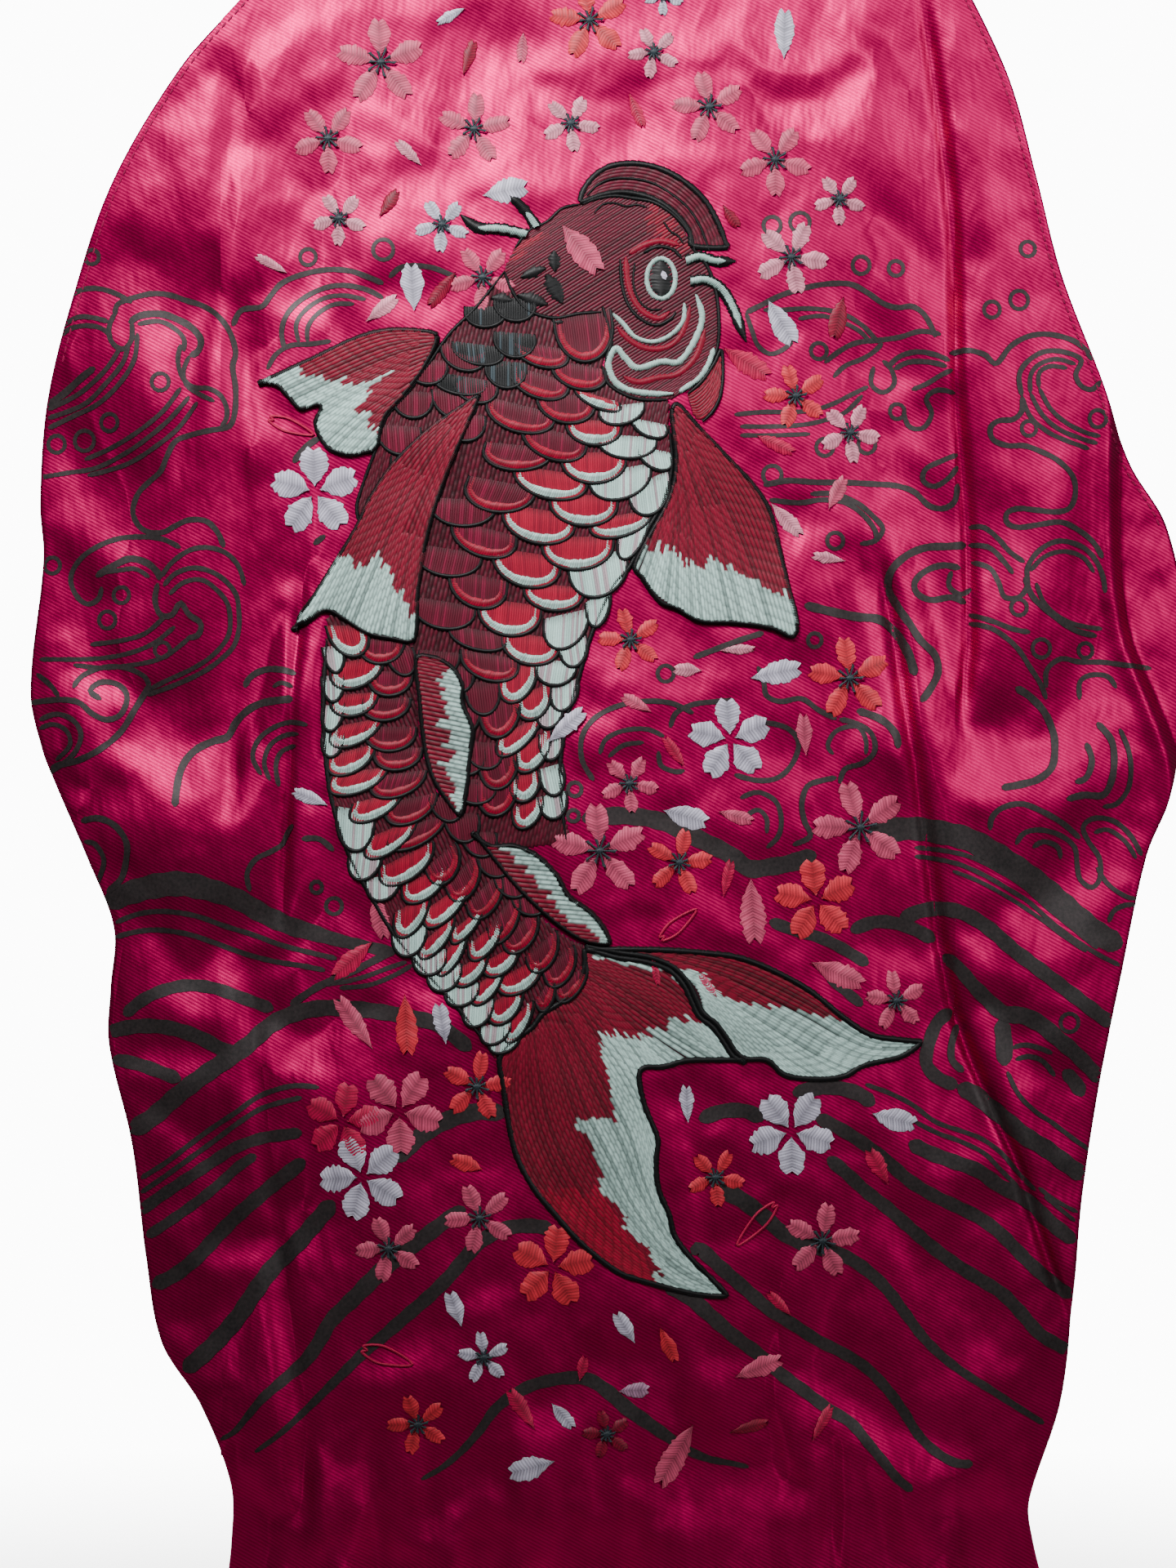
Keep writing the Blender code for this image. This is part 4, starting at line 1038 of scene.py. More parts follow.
RIGHT_LOWER_WAVES = [
    ((5.5, 3), [(26, 98), (34, 94), (42, 87), (50, 80), (58, 74), (66, 67), (74, 61), (82, 55), (90, 50),
                (96, 43), (101, 37), (106, 31), (111, 27)]),
    ((5, 3), [(36, 108), (38, 110), (46, 103), (54, 96), (62, 89), (70, 84), (79, 78), (87, 74), (95, 69),
              (102, 62), (108, 54), (113, 46), (119, 40), (126, 36), (132, 35.5)]),
    ((6, 2), [(44, 131), (52, 127), (60, 121), (67, 115), (75, 111), (83, 109), (90, 106), (97, 101),
              (103, 95), (109, 87), (115, 79), (122, 72), (130, 66), (138, 61), (147, 55), (157, 48.5)]),
    ((4.5,), [(82, 141), (88, 136), (95, 129.5), (102, 124), (110, 117), (118, 110), (126, 104), (134, 99),
              (142, 94), (148, 88), (155, 80), (161, 76), (166, 73)]),
    ((4.5,), [(78, 155), (86, 151), (94, 146), (102, 140), (110, 133), (118, 128), (126, 124), (134, 120),
              (141, 115), (147, 109), (153, 103), (160, 97), (167, 92)]),
    ((5,), [(110, 146), (118, 142), (126, 139), (134, 136), (141, 131), (147, 128), (153, 124), (158, 119),
            (164, 114), (168, 111)]),
    ((1.4,), [(155, 130), (160, 126), (165, 123), (169, 121)]),
    ((1.4,), [(157, 127), (163, 122), (168, 118)]),
    ((5,), [(70, 163), (77, 164.5), (84, 165), (92, 163), (98, 159)]),
    ((5,), [(38, 154), (46, 157), (54, 157), (60, 154)]),
    ((6,), [(-2, 257), (12, 258), (25, 256), (38, 250), (48, 245), (55, 240), (62, 240.5), (70, 242),
            (78, 245)]),
    ((8,), [(96, 252), (103, 253), (112, 253.5), (122, 252), (130, 250), (138, 246), (146, 241),
            (154, 235.5), (162, 229), (170, 222), (178, 216), (185, 213)]),
    ((1.6,), [(112, 247), (122, 246), (132, 243.5), (142, 238.5), (150, 233.5), (158, 226.5), (166, 220),
              (176, 212)]),
    ((1.6,), [(112, 244), (120, 243), (128, 241), (136, 237.5), (144, 233), (152, 228), (160, 221),
              (168, 215), (176, 210), (184, 206)]),
    ((1.4,), [(125, 239), (135, 235), (145, 229.5), (155, 223), (163, 217), (172, 211)]),
    ((4.5,), [(90, 218.5), (98, 221.5), (106, 221), (113, 218.5), (119, 215)]),
    ((5,), [(107, 221.5), (113, 225), (122, 226), (130, 224), (138, 219), (146, 212), (154, 206), (162, 200),
            (170, 194), (178, 188), (182, 186)]),
    ((4, 6, 5), [(122, 210), (127, 206), (132, 200), (138, 194), (143, 190), (150, 189), (156, 186),
                 (162, 181), (168, 176), (174, 170), (178, 166)]),
    ((6,), [(142, 188), (143, 180), (143, 172)]),
    ((5,), [(164, 170), (168, 166), (171, 161)]),
    ((1.8,), [(146, 178), (150, 179), (155, 178), (160, 176)]),
    ((1.8,), [(147, 174), (152, 175), (157, 173), (161, 168)]),
    ((1.6,), [(144, 170), (148, 162), (154, 156), (160, 152), (168, 146), (174, 142)]),
    ((4.5,), [(125, 191), (120, 187), (117, 180), (116, 173), (120, 168), (127, 165)]),
    ((2.5,), [(127, 186), (125, 180), (125, 174), (129, 170)]),
    ((6,), [(127, 165), (133, 162), (138, 158), (144, 153), (150, 148), (158, 143), (166, 137), (172, 133)]),
    ((1.6,), [(95, 166), (103, 163), (111, 159), (119, 153), (127, 150), (135, 147), (142, 142), (148, 135),
              (154, 129)]),
    ((1.6,), [(112, 153), (120, 149), (128, 146), (136, 142), (142, 136), (148, 130)]),
    ((4,), [(62, 222), (70, 219), (80, 216), (88, 212), (96, 207)]),
    ((3.5,), [(82, 203), (88, 198), (94, 193)]),
]
RIGHT_UPPER_WAVES = [
    ((1.9,), [(54, 430), (60, 433), (66, 436), (74, 438.5), (82, 440), (90, 440), (96, 437), (101, 433.5),
              (106, 432), (111, 432.5), (115, 430), (118, 425), (119, 422)]),
    ((1.6,), [(60, 431), (66, 431), (74, 431.5), (82, 431), (88, 429.5), (94, 426), (98, 422), (100, 420)]),
    ((1.5,), [(72, 428), (80, 429), (87, 427), (93, 424), (97, 420)]),
    ((1.6,), [(54, 430), (56, 424), (58, 419), (62, 416), (66, 417), (70, 420)]),
    ((1.8,), [(81, 413), (86, 417), (92, 420), (100, 421), (107, 422), (114, 424), (121, 423)]),
    ((1.7,), [(84, 408), (88, 412), (94, 414.5), (98, 417), (101, 420)]),
    ((1.7,), [(98, 412), (97, 406), (101, 403), (105, 406), (104, 411), (101, 414)]),
    ((1.8,), [(103, 412), (107, 415.5), (113, 417), (119, 416), (124, 414)]),
    ((1.8,), [(105, 411), (110, 413.5), (117, 413.5), (123, 412)]),
    ((1.7,), [(111, 404), (116, 406), (121, 409), (125, 411)]),
    ((1.7,), [(108, 397), (110, 391.5), (115, 391), (118, 396), (116, 401), (120, 404), (126, 403)]),
    ((1.6,), [(50, 395), (60, 396), (70, 396), (78, 397), (84, 399), (90, 402), (96, 405)]),
    ((1.6,), [(52, 391), (62, 391), (72, 391.5), (80, 393), (88, 396), (94, 402)]),
    ((1.5,), [(52, 388), (64, 388), (76, 388.5)]),
    ((1.8,), [(127, 382), (122, 380), (116, 377), (115, 373), (119, 371), (124, 374), (127, 378)]),
    ((2.0,), [(60, 371), (68, 372.5), (78, 372), (88, 372), (98, 371.5), (106, 371), (112, 369), (117, 364.5),
              (122, 363.5), (126, 366), (127, 372)]),
    ((1.8,), [(62, 366), (72, 365), (80, 366), (88, 365), (94, 361), (98, 356), (99, 352)]),
    ((1.8,), [(76, 368), (84, 368), (92, 365), (98, 360), (101, 356), (98, 352), (93, 351)]),
    ((3.0,), [(74, 330), (82, 328), (92, 326), (100, 325), (106, 320), (110, 313), (112, 306)]),
    ((2.6,), [(130, 351), (124, 350.5), (116, 350), (109, 347), (104, 342), (103, 336), (106, 330),
              (110, 324), (114, 318), (119, 313), (120, 307), (117, 301), (114, 297)]),
    ((2.2,), [(128, 343), (122, 344), (116, 342), (112, 338), (113, 334), (118, 332), (125, 333),
              (130, 331)]),
    ((1.8,), [(125, 342), (124, 337), (128, 334), (132, 336)]),
    ((1.8,), [(131, 357), (136, 357), (141, 353), (145, 348.5), (150, 345)]),
    ((1.8,), [(131, 351), (138, 350), (143, 345), (146, 341)]),
    ((1.8,), [(132, 345), (138, 343), (141, 338), (143, 333), (148, 333), (151, 337), (151, 343), (155, 349),
              (162, 352.5), (170, 351), (175, 347), (178, 341), (179, 335)]),
    ((1.6,), [(152, 342), (157, 347), (164, 349), (171, 347), (175, 342)]),
    ((1.6,), [(154, 338), (157, 331), (163, 326), (170, 323.5), (178, 322.5)]),
    ((2.0,), [(150, 340), (153, 333), (160, 327), (168, 322), (176, 320)]),
    ((1.8,), [(131, 327), (138, 325), (146, 322), (152, 321)]),
    ((1.8,), [(131, 324), (139, 322), (147, 316), (152, 309), (156, 303), (158, 298)]),
    ((1.8,), [(158, 302), (158, 308), (163, 312), (170, 311), (178, 311), (186, 310), (196, 309)]),
    ((1.8,), [(170, 298), (170, 304), (174, 306.5), (180, 306), (183, 302)]),
    ((2.6,), [(147, 302), (152, 299), (157, 294), (160, 288), (161, 283), (160, 275), (155, 270.5),
              (148, 268.5), (142, 267.5)]),
    ((2.2,), [(172, 283), (174, 277), (172, 271), (168, 269.5)]),
    ((2.4,), [(176, 290), (181, 284), (182, 277), (181, 270), (178, 265), (171, 265), (165, 263.5)]),
    ((1.8,), [(184, 288), (187, 281), (188, 274), (187, 267), (183, 262), (178, 261)]),
    ((2.0,), [(138, 253), (138.5, 257), (142, 260.5), (149, 262), (157, 259), (164, 255), (170, 250)]),
    ((1.8,), [(147, 248), (150, 252), (156, 253), (163, 251), (168, 247), (169, 241), (170, 236), (174, 233),
              (177, 236), (177, 243), (173, 249), (171, 254), (175, 257), (182, 256), (188, 251),
              (192, 244)]),
    ((1.8,), [(153, 247), (157, 249), (162, 247), (163, 243)]),
    ((1.6,), [(175, 252), (180, 253), (186, 249), (190, 243)]),
    ((1.8,), [(180, 221), (182, 225), (187, 227), (192, 226)]),
    ((1.6,), [(176, 240), (180, 234), (186, 230), (190, 229)]),
    ((1.9,), [(124, 416.5), (130, 417.5), (136, 416), (140, 413), (145, 419), (151, 422.5), (158, 423.5),
              (166, 422), (171, 419), (174, 415)]),
    ((1.8,), [(149, 402), (148, 409), (151, 414), (157, 417.5), (164, 417.5), (170, 415), (168, 410),
              (170, 406), (174, 405), (177, 408)]),
    ((1.6,), [(152, 403), (152, 409), (155, 413), (161, 415), (168, 413.5)]),
    ((1.6,), [(155, 405), (155, 410), (159, 412.5), (165, 412)]),
    ((1.6,), [(149, 402), (152, 395), (158, 390), (165, 387), (173, 384.5)]),
    ((1.6,), [(152, 403), (156, 396), (162, 391), (170, 388), (176, 386.5)]),
    ((1.6,), [(155, 405), (159, 398), (165, 393), (172, 390), (177, 389)]),
    ((1.9,), [(149, 402), (149, 397), (146, 394), (141, 393.5), (138, 391), (139, 387), (144, 385),
              (150, 385), (156, 383), (162, 380), (167, 375), (168, 369), (166, 364), (161, 362.5),
              (154, 363), (148, 363.5), (144, 362), (144, 358.5), (148, 357), (155, 358), (163, 359),
              (170, 356), (175, 352), (178, 347)]),
]
MIDDLE_WAVES = [
    ((2.0,), [(36, 312), (44, 315), (52, 318), (60, 320.5)]),
    ((1.8,), [(2, 270), (-2, 277), (-2, 285), (2, 291), (9, 295), (18, 297), (28, 296.5), (36, 293)]),
    ((1.6,), [(4, 279), (6, 284), (12, 287), (20, 287.5), (26, 285)]),
    ((1.6,), [(7, 278), (12, 282), (19, 283)]),
    ((1.8,), [(28, 288), (30, 293), (36, 296), (44, 297), (50, 297.5)]),
    ((1.7,), [(24, 280), (25, 275), (30, 273), (33, 273.5)]),
    ((1.8,), [(58, 309), (60, 304), (61, 299), (66, 297), (73, 298), (79, 294), (85, 291)]),
    ((1.8,), [(86, 291), (92, 289.5), (97, 286), (98, 280), (94, 276), (88, 274), (86, 269)]),
    ((2.6,), [(92, 294), (100, 291), (105, 286), (106, 281)]),
    ((1.9,), [(85, 271), (80, 270), (75, 268), (73, 262), (74, 256), (76, 251), (70, 248)]),
    ((1.6,), [(84, 279), (82, 282), (85, 287), (92, 288.5), (95, 284), (95, 279)]),
    ((1.8,), [(60, 290), (68, 288), (72, 283), (70, 276), (65, 271), (58, 270), (50, 272)]),
    ((1.7,), [(52, 264), (58, 266), (64, 263), (66, 257), (65, 251), (61, 247)]),
    ((1.6,), [(54, 258), (58, 260), (61, 257), (61, 252)]),
]
WAVES = LEFT_UPPER_WAVES + LEFT_LOWER_WAVES + RIGHT_LOWER_WAVES + RIGHT_UPPER_WAVES + MIDDLE_WAVES
# Small printed circles: u, v, radius
BUBBLES = [(-171, 450.5, 2.5), (-147, 407, 3), (-165, 393.5, 3), (-174, 387.5, 3.5), (-184, 386.5, 3),
           (-161, 334, 2.8), (-166, 325.5, 3), (-185.5, 344.5, 2.8), (-146.5, 315, 2.7), (-96, 449.5, 2.8),
           (-70, 451.5, 3.5), (-93, 233.5, 2), (-87, 227, 2.8), (151, 452.5, 2.6), (148, 435, 3.2),
           (138.5, 431.5, 2.8), (93.5, 446.5, 3), (105.5, 445.5, 2.6), (63, 460, 3), (72.5, 461, 3.4),
           (79, 417, 2.8), (106, 396.5, 2.6), (151.5, 391, 2.6), (176, 395, 3), (63, 374.5, 3.2),
           (84.5, 352, 2.8), (148, 329.5, 2.8), (156, 315.5, 3.2), (81, 384, 3), (95.5, 385, 3),
           (77.5, 318, 2.4), (26.5, 306.5, 2.8), (166, 186.5, 3.2), (172, 315, 2.6), (-4.5, 267, 2.4),
           (-5, 258, 2)]
BUBBLE_LINE = 1.4
INK_HEIGHT = 0.15         # ink ribbons lie this far above the satin; crossing ones at slightly other heights
INK_STEP = 1.3
INK_MARGIN = 0.8


class Ink:
    """Printed strokes as thin ribbons on the satin, sorted into the three zones of the cloth."""

    def __init__(self):
        self.points = {"left": [], "centre": [], "right": []}
        self.faces = {"left": [], "centre": [], "right": []}
        self.strokes = 0

    def stroke(self, points, widths, cyclic=False):
        path = route(points, INK_STEP, cyclic)
        place = np.linspace(0, 1, len(path))
        widths = np.array(widths if len(widths) > 1 else widths * 2, float)
        half = 0.5 * np.interp(place, np.linspace(0, 1, len(widths)), widths)
        half *= 1 + 0.05 * np.sin(1.1 * np.arange(len(path)) + self.strokes)
        if not cyclic:
            to_end = np.minimum(place, 1 - place) * (len(path) - 1) * INK_STEP
            half *= np.sqrt(np.clip((to_end + 0.15) / half, 0.05, 1.0))
        columns = max(5, int(2 * half.max() / 1.2) + 1)
        reach = half[:, None] * np.linspace(-1, 1, columns)
        normal = sideways(path)
        u, v = (path[:, k:k + 1] + normal[:, k:k + 1] * reach for k in (0, 1))
        height = INK_HEIGHT + 0.012 * (self.strokes % 8)
        self.strokes += 1
        points = cloth.lift(u, v, height).reshape(-1, 3)
        quads = grid_faces(*u.shape)[:, ::-1]
        middle_u, middle_v = (x.reshape(-1)[quads].mean(axis=1) for x in (u, v))
        shown = ((middle_u > left_edge(middle_v) + INK_MARGIN)
                 & (middle_u < right_edge(middle_v) - INK_MARGIN))
        for zone, here in (("left", middle_u < -FOLD_U), ("centre", np.abs(middle_u) <= FOLD_U),
                           ("right", middle_u > FOLD_U)):
            kept = quads[shown & here]
            if len(kept):
                used, places = np.unique(kept, return_inverse=True)
                first = sum(len(p) for p in self.points[zone])
                self.points[zone].append(points[used])
                self.faces[zone].append(places.reshape(-1, 4) + first)

    def finish(self):
        material = ink_material()
        for zone, points in self.points.items():
            made = mesh_object(f"wave_print_{zone}", np.concatenate(points), np.concatenate(self.faces[zone]),
                               material)
            if zone == "centre":
                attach(made, "back_panel")
            else:
                ride_side(made)


def add_wave_print():
    ink = Ink()
    for widths, points in WAVES:
        ink.stroke(points, widths)
    for u, v, radius in BUBBLES:
        turns = [2 * math.pi * i / 10 for i in range(10)]
        ink.stroke([(u + radius * math.cos(a), v + radius * math.sin(a)) for a in turns], (BUBBLE_LINE,),
                   cyclic=True)
    ink.finish()


# ---------------------------------------------------------------- the carp

DORSAL_LINE = [(-59.5, 313), (-58.8, 300), (-57.5, 286), (-55, 274), (-50.5, 265), (-45, 258), (-39.5, 251),
               (-33, 242), (-24, 231), (-14, 221.5), (-6, 215.5), (-1, 213)]
HEAD_CROWN = [(-3, 467), (5, 469.5), (12, 470.5), (20, 469), (26, 466), (30.5, 462), (34, 457), (35.5, 452)]
CHEEK_LINE = [(27, 400), (19, 400), (13, 401.5), (7, 405.5), (5, 411.5), (7, 418), (8, 425), (4.5, 430),
              (-3, 429.5), (-12, 428), (-21, 431), (-26, 437.5), (-28.5, 444)]
TAIL_ROOT = [(-1, 213), (-2, 207), (-4, 201), (-9, 195.5), (-16, 191), (-20, 186), (-27, 181), (-31, 175)]
TAIL_SPINE = [(-1, 213), (10, 210.5), (20, 209), (28, 206), (33, 201), (36, 195), (38.5, 190), (43, 186.5),
              (47, 181), (50, 176.5), (54, 174)]
FIELDS = {
    "carp_crest": (
        [(-3, 467), (-2.5, 472), (1.5, 477.5), (7, 481), (14, 482.2), (21, 481.5), (28, 479), (35, 474.5),
         (41, 468.5), (45, 461.5), (47.5, 455), (47.8, 451.5)] + HEAD_CROWN[::-1][:-1]),
    "carp_head": (
        HEAD_CROWN + [(40, 447), (43, 440), (44.5, 431), (44.5, 420), (42, 413), (38, 407), (33, 403)]
        + CHEEK_LINE + [(-25, 452), (-20, 458), (-14, 461), (-9, 465.5)]),
    "gill_edge": (
        [(34, 402), (39, 406.5), (43, 412.5), (45.5, 417), (46, 408), (45, 401), (42.5, 396), (39, 392.5),
         (35.5, 396)]),
    "carp_front_body": (
        CHEEK_LINE[::-1] + [(27.5, 391), (28.6, 381), (28, 373), (25, 364), (20, 355), (14.5, 343.5),
                            (9, 337), (5, 329), (0.5, 318), (-3.5, 304), (-7.5, 290), (-9.5, 276),
                            (-9, 262), (-7.5, 250), (-20, 247), (-33, 245)]
        + DORSAL_LINE[:7][::-1] + [(-60.5, 322), (-66, 335), (-75, 350), (-79, 362), (-77, 371),
                                   (-73, 382), (-69, 394), (-62, 402), (-54, 413), (-47, 423), (-38, 432)]),
    "carp_rear_body": (
        DORSAL_LINE + TAIL_ROOT[1:] + [(-35, 180.5), (-45, 193), (-55, 204), (-66, 217), (-74, 230),
                                       (-81, 243), (-86, 257), (-89, 271), (-90.5, 288), (-90.5, 303),
                                       (-89.5, 318), (-88.5, 327), (-80, 323), (-68, 318), (-60.5, 317)]),
    "fin_left_upper": (
        [(-51, 422.5), (-60, 424.7), (-71, 424.5), (-81, 421.5), (-93, 416), (-105, 410.5), (-113, 406.3),
         (-107, 405), (-103, 401), (-98.5, 396.7), (-92, 398), (-94, 392), (-90, 384), (-83, 381),
         (-76.5, 381.5), (-71.5, 384), (-69, 394), (-62, 402), (-54.5, 412.5)]),
    "fin_left_lower": (
        [(-36.5, 402), (-41, 390), (-47, 376), (-52.5, 360), (-55.8, 346), (-57.5, 334), (-58.8, 318),
         (-68, 318), (-76, 320), (-84, 325), (-90, 327.5), (-96, 323.5), (-101.5, 321.5), (-97, 329),
         (-88, 343.5), (-80, 356.5), (-75, 367), (-66, 380), (-54, 391), (-44, 398)]),
    "fin_right": (
        [(28, 397), (31, 399), (38, 391.5), (48, 381), (57, 371.5), (62.5, 363), (66, 350), (69, 337),
         (72, 324), (70, 318.5), (62, 321.5), (50, 323), (38, 323.7), (30, 328), (24, 330.5), (18, 338.5),
         (15.2, 343.5), (20.5, 354.5), (26, 364.5), (28.8, 373), (29.3, 381), (28.4, 390)]),
    "dorsal_front": (
        [(-59.3, 312), (-58.3, 298), (-57, 285), (-54.5, 273), (-49.5, 264), (-43.5, 257.3), (-41, 264),
         (-39.5, 277), (-38.6, 288), (-42, 296.5), (-42, 303), (-46, 309.5), (-53, 313)]),
    "dorsal_rear": (
        [(-39.5, 252.5), (-33.5, 244), (-24, 232.5), (-14, 223), (-5, 216.5), (1.5, 214), (8, 214),
         (6, 220), (1, 226), (-6, 231), (-10, 238), (-17, 245), (-25, 248.5), (-33, 248.5)]),
    "tail_main": (
        TAIL_SPINE + [(45, 173.7), (34, 173.5), (26, 171.5), (19, 171), (18.5, 166), (20.5, 158),
                      (24.5, 148), (24, 140), (24.8, 131), (28.5, 122), (30.5, 114.5), (37, 106),
                      (48, 94.5), (42, 93), (31, 95), (18, 98.5), (9, 102), (-3, 111.5), (-12, 121.5),
                      (-19, 130), (-25, 141), (-28, 153), (-29.8, 165)] + TAIL_ROOT[::-1][:-1]),
    "tail_upper": (
        TAIL_SPINE[::-1] + [(12, 213.3), (26, 213), (40, 212), (52, 210.3), (64, 205.7), (76, 199),
                            (88, 189.5), (97, 183.7), (107, 182), (115, 180.5), (108, 174.8), (95, 171.7),
                            (88, 168), (78, 167), (67, 168.5), (61, 173.5)]),
}
HIGH_FIELDS = ("fin_left_upper", "fin_left_lower", "fin_right", "dorsal_front", "dorsal_rear")
CORDED = ("carp_crest", "fin_left_upper", "fin_left_lower", "fin_right", "dorsal_front", "dorsal_rear",
          "tail_main", "tail_upper")
LOW_PATCH, LOW_ROWS = 0.2, 0.25
HIGH_PATCH, HIGH_ROWS = 1.55, 1.6
ROW_CROWN = 0.5

# Guide curves that the rows of stitches run along
CREST_GUIDES = [[(-3, 470), (1.5, 477.5), (7, 481), (14, 482.2), (21, 481.5), (28, 479), (35, 474.5),
                 (41, 468.5), (45, 461.5), (47.5, 455), (47.8, 451.5)],
                [(-3, 467), (5, 469.5), (12, 470.5), (20, 469), (26, 466), (30.5, 462), (34, 457),
                 (35.5, 452)]]
GILL_GUIDES = [[(33, 402), (39, 406.5), (43, 412.5), (45.5, 417)],
               [(35.5, 395), (39, 394), (44, 400), (46, 410), (45.5, 417)]]
FIN_RIGHT_GUIDES = [[(28, 400), (40, 392), (52, 380), (62, 366), (68, 350), (73, 330), (75, 318)],
                    [(28, 398), (38, 380), (48, 360), (56, 340), (62, 320)],
                    [(28, 396), (31, 378), (35, 358), (37, 340), (39, 322)],
                    [(28, 394), (27, 372), (22, 352), (17, 338)],
                    [(27, 392), (22, 368), (15, 350), (8, 338)]]
FIN_LOWER_GUIDES = [[(-36.5, 406), (-57, 395), (-71, 384), (-83, 370), (-96, 344), (-108, 322)],
                    [(-36.5, 403), (-54, 391), (-66, 380), (-75, 367), (-88, 344), (-101, 322)],
                    [(-36.5, 402), (-50, 382), (-60, 362), (-68, 342), (-76, 318)],
                    [(-36, 401), (-41, 390), (-47, 376), (-52.5, 360), (-57.5, 334), (-59, 316)],
                    [(-34, 400), (-37, 388), (-42, 374), (-46, 358), (-50, 334), (-52, 316)]]
FIN_UPPER_GUIDES = [[(-40, 427), (-51, 428), (-71, 430), (-93, 423), (-116, 411)],
                    [(-40, 424), (-51, 424), (-71, 426), (-93, 417.5), (-114, 407)],
                    [(-44, 420), (-60, 417), (-80, 409), (-104, 398)],
                    [(-48, 414), (-62, 406), (-78, 396), (-92, 384)],
                    [(-54, 410), (-64, 398), (-74, 388), (-82, 380)],
                    [(-56, 409), (-62, 396), (-66, 384), (-70, 376)]]
TAIL_MAIN_GUIDES = [[(-30, 172), (-38, 160), (-36, 146), (-26, 125), (-8, 104), (14, 92), (40, 86)],
                    [(-24, 184), (-30, 165), (-28, 150), (-20, 131), (-4, 112), (16, 98), (42, 90)],
                    [(-20, 188), (-18, 165), (-14, 148), (-4, 128), (12, 110), (30, 97), (48, 92)],
                    [(-14, 193), (-6, 172), (0, 156), (8, 140), (16, 124), (28, 108), (46, 96)],
                    [(-8, 198), (4, 180), (12, 168), (18, 156), (22, 140), (28, 124), (36, 108)],
                    [(-4, 203), (10, 192), (22, 182), (32, 175), (40, 170)],
                    [(-1, 211), (12, 205), (26, 198), (36, 190), (44, 182), (54, 173)],
                    [(-1, 216), (12, 214), (26, 212), (34, 204), (42, 192), (56, 178)]]
TAIL_UPPER_GUIDES = [[(6, 222), (26, 220), (52, 217), (76, 206), (97, 190), (118, 186)],
                     [(6, 216), (26, 215), (52, 212), (76, 201), (97, 185), (116, 181.5)],
                     [(10, 212), (30, 208), (50, 201), (72, 190), (95, 178), (114, 178)],
                     [(34, 203), (44, 196), (56, 187), (72, 176), (90, 166)],
                     [(40, 192), (46, 184), (54, 174), (62, 166)]]

# Zones of another colour inside a field
FIN_RIGHT_WHITE = [(10, 352), (17, 350), (24, 350), (30, 347), (36, 343), (44, 345), (52, 341), (58, 338),
                   (68, 334), (80, 330), (80, 310), (5, 310)]
FIN_LOWER_WHITE = [(-110, 350), (-90, 347), (-84, 347), (-78, 342), (-72, 346), (-66, 338), (-62, 330),
                   (-59, 325), (-50, 320), (-50, 305), (-115, 305)]
FIN_UPPER_WHITE = [(-100, 420), (-100, 413), (-95, 409), (-85, 407), (-77, 405), (-68, 409.5), (-74, 404),
                   (-78, 398), (-74, 392), (-71, 390), (-66, 386), (-66, 376), (-100, 376), (-120, 395),
                   (-120, 415)]
DORSAL_FRONT_WHITE = [(-50, 316), (-46, 309), (-50, 303), (-48, 296), (-50, 290), (-47, 282), (-49, 274),
                      (-46, 266), (-46, 258), (-36, 254), (-34, 300), (-42, 316)]
DORSAL_REAR_WHITE = [(-40, 256), (-33, 251), (-26, 243), (-19, 238), (-13, 231), (-8, 225), (-2, 220),
                     (4, 215), (12, 210), (12, 230), (-8, 245), (-25, 256)]
TAIL_MAIN_WHITE = [(4, 184), (20, 183), (27, 187), (36, 189), (43, 187), (60, 178), (60, 165), (40, 160),
                   (30, 150), (32, 130), (60, 90), (24, 88), (24, 101), (21, 110), (13, 116), (12, 123),
                   (4, 130), (4, 138), (0, 148), (-6, 155), (10, 154), (8, 163), (5, 175)]
TAIL_MAIN_RED = [(-30, 128), (4, 130), (24, 99), (24, 85), (-30, 85)]
TAIL_SPINE_WHITE = [(0, 214), (0, 210), (14, 207), (27, 205), (34, 198), (38, 200), (30, 209), (14, 213)]
TAIL_UPPER_WHITE = [(30, 206), (38, 205), (45, 197), (52, 194), (60, 193), (70, 192), (80, 190), (90, 186),
                    (100, 184), (120, 184), (120, 160), (30, 160)]
# Ground under the rows of the carp's body; its dark colour is painted shade between the rows.
BODY_GROOVE_SHADE = srgb(70, 8, 26)


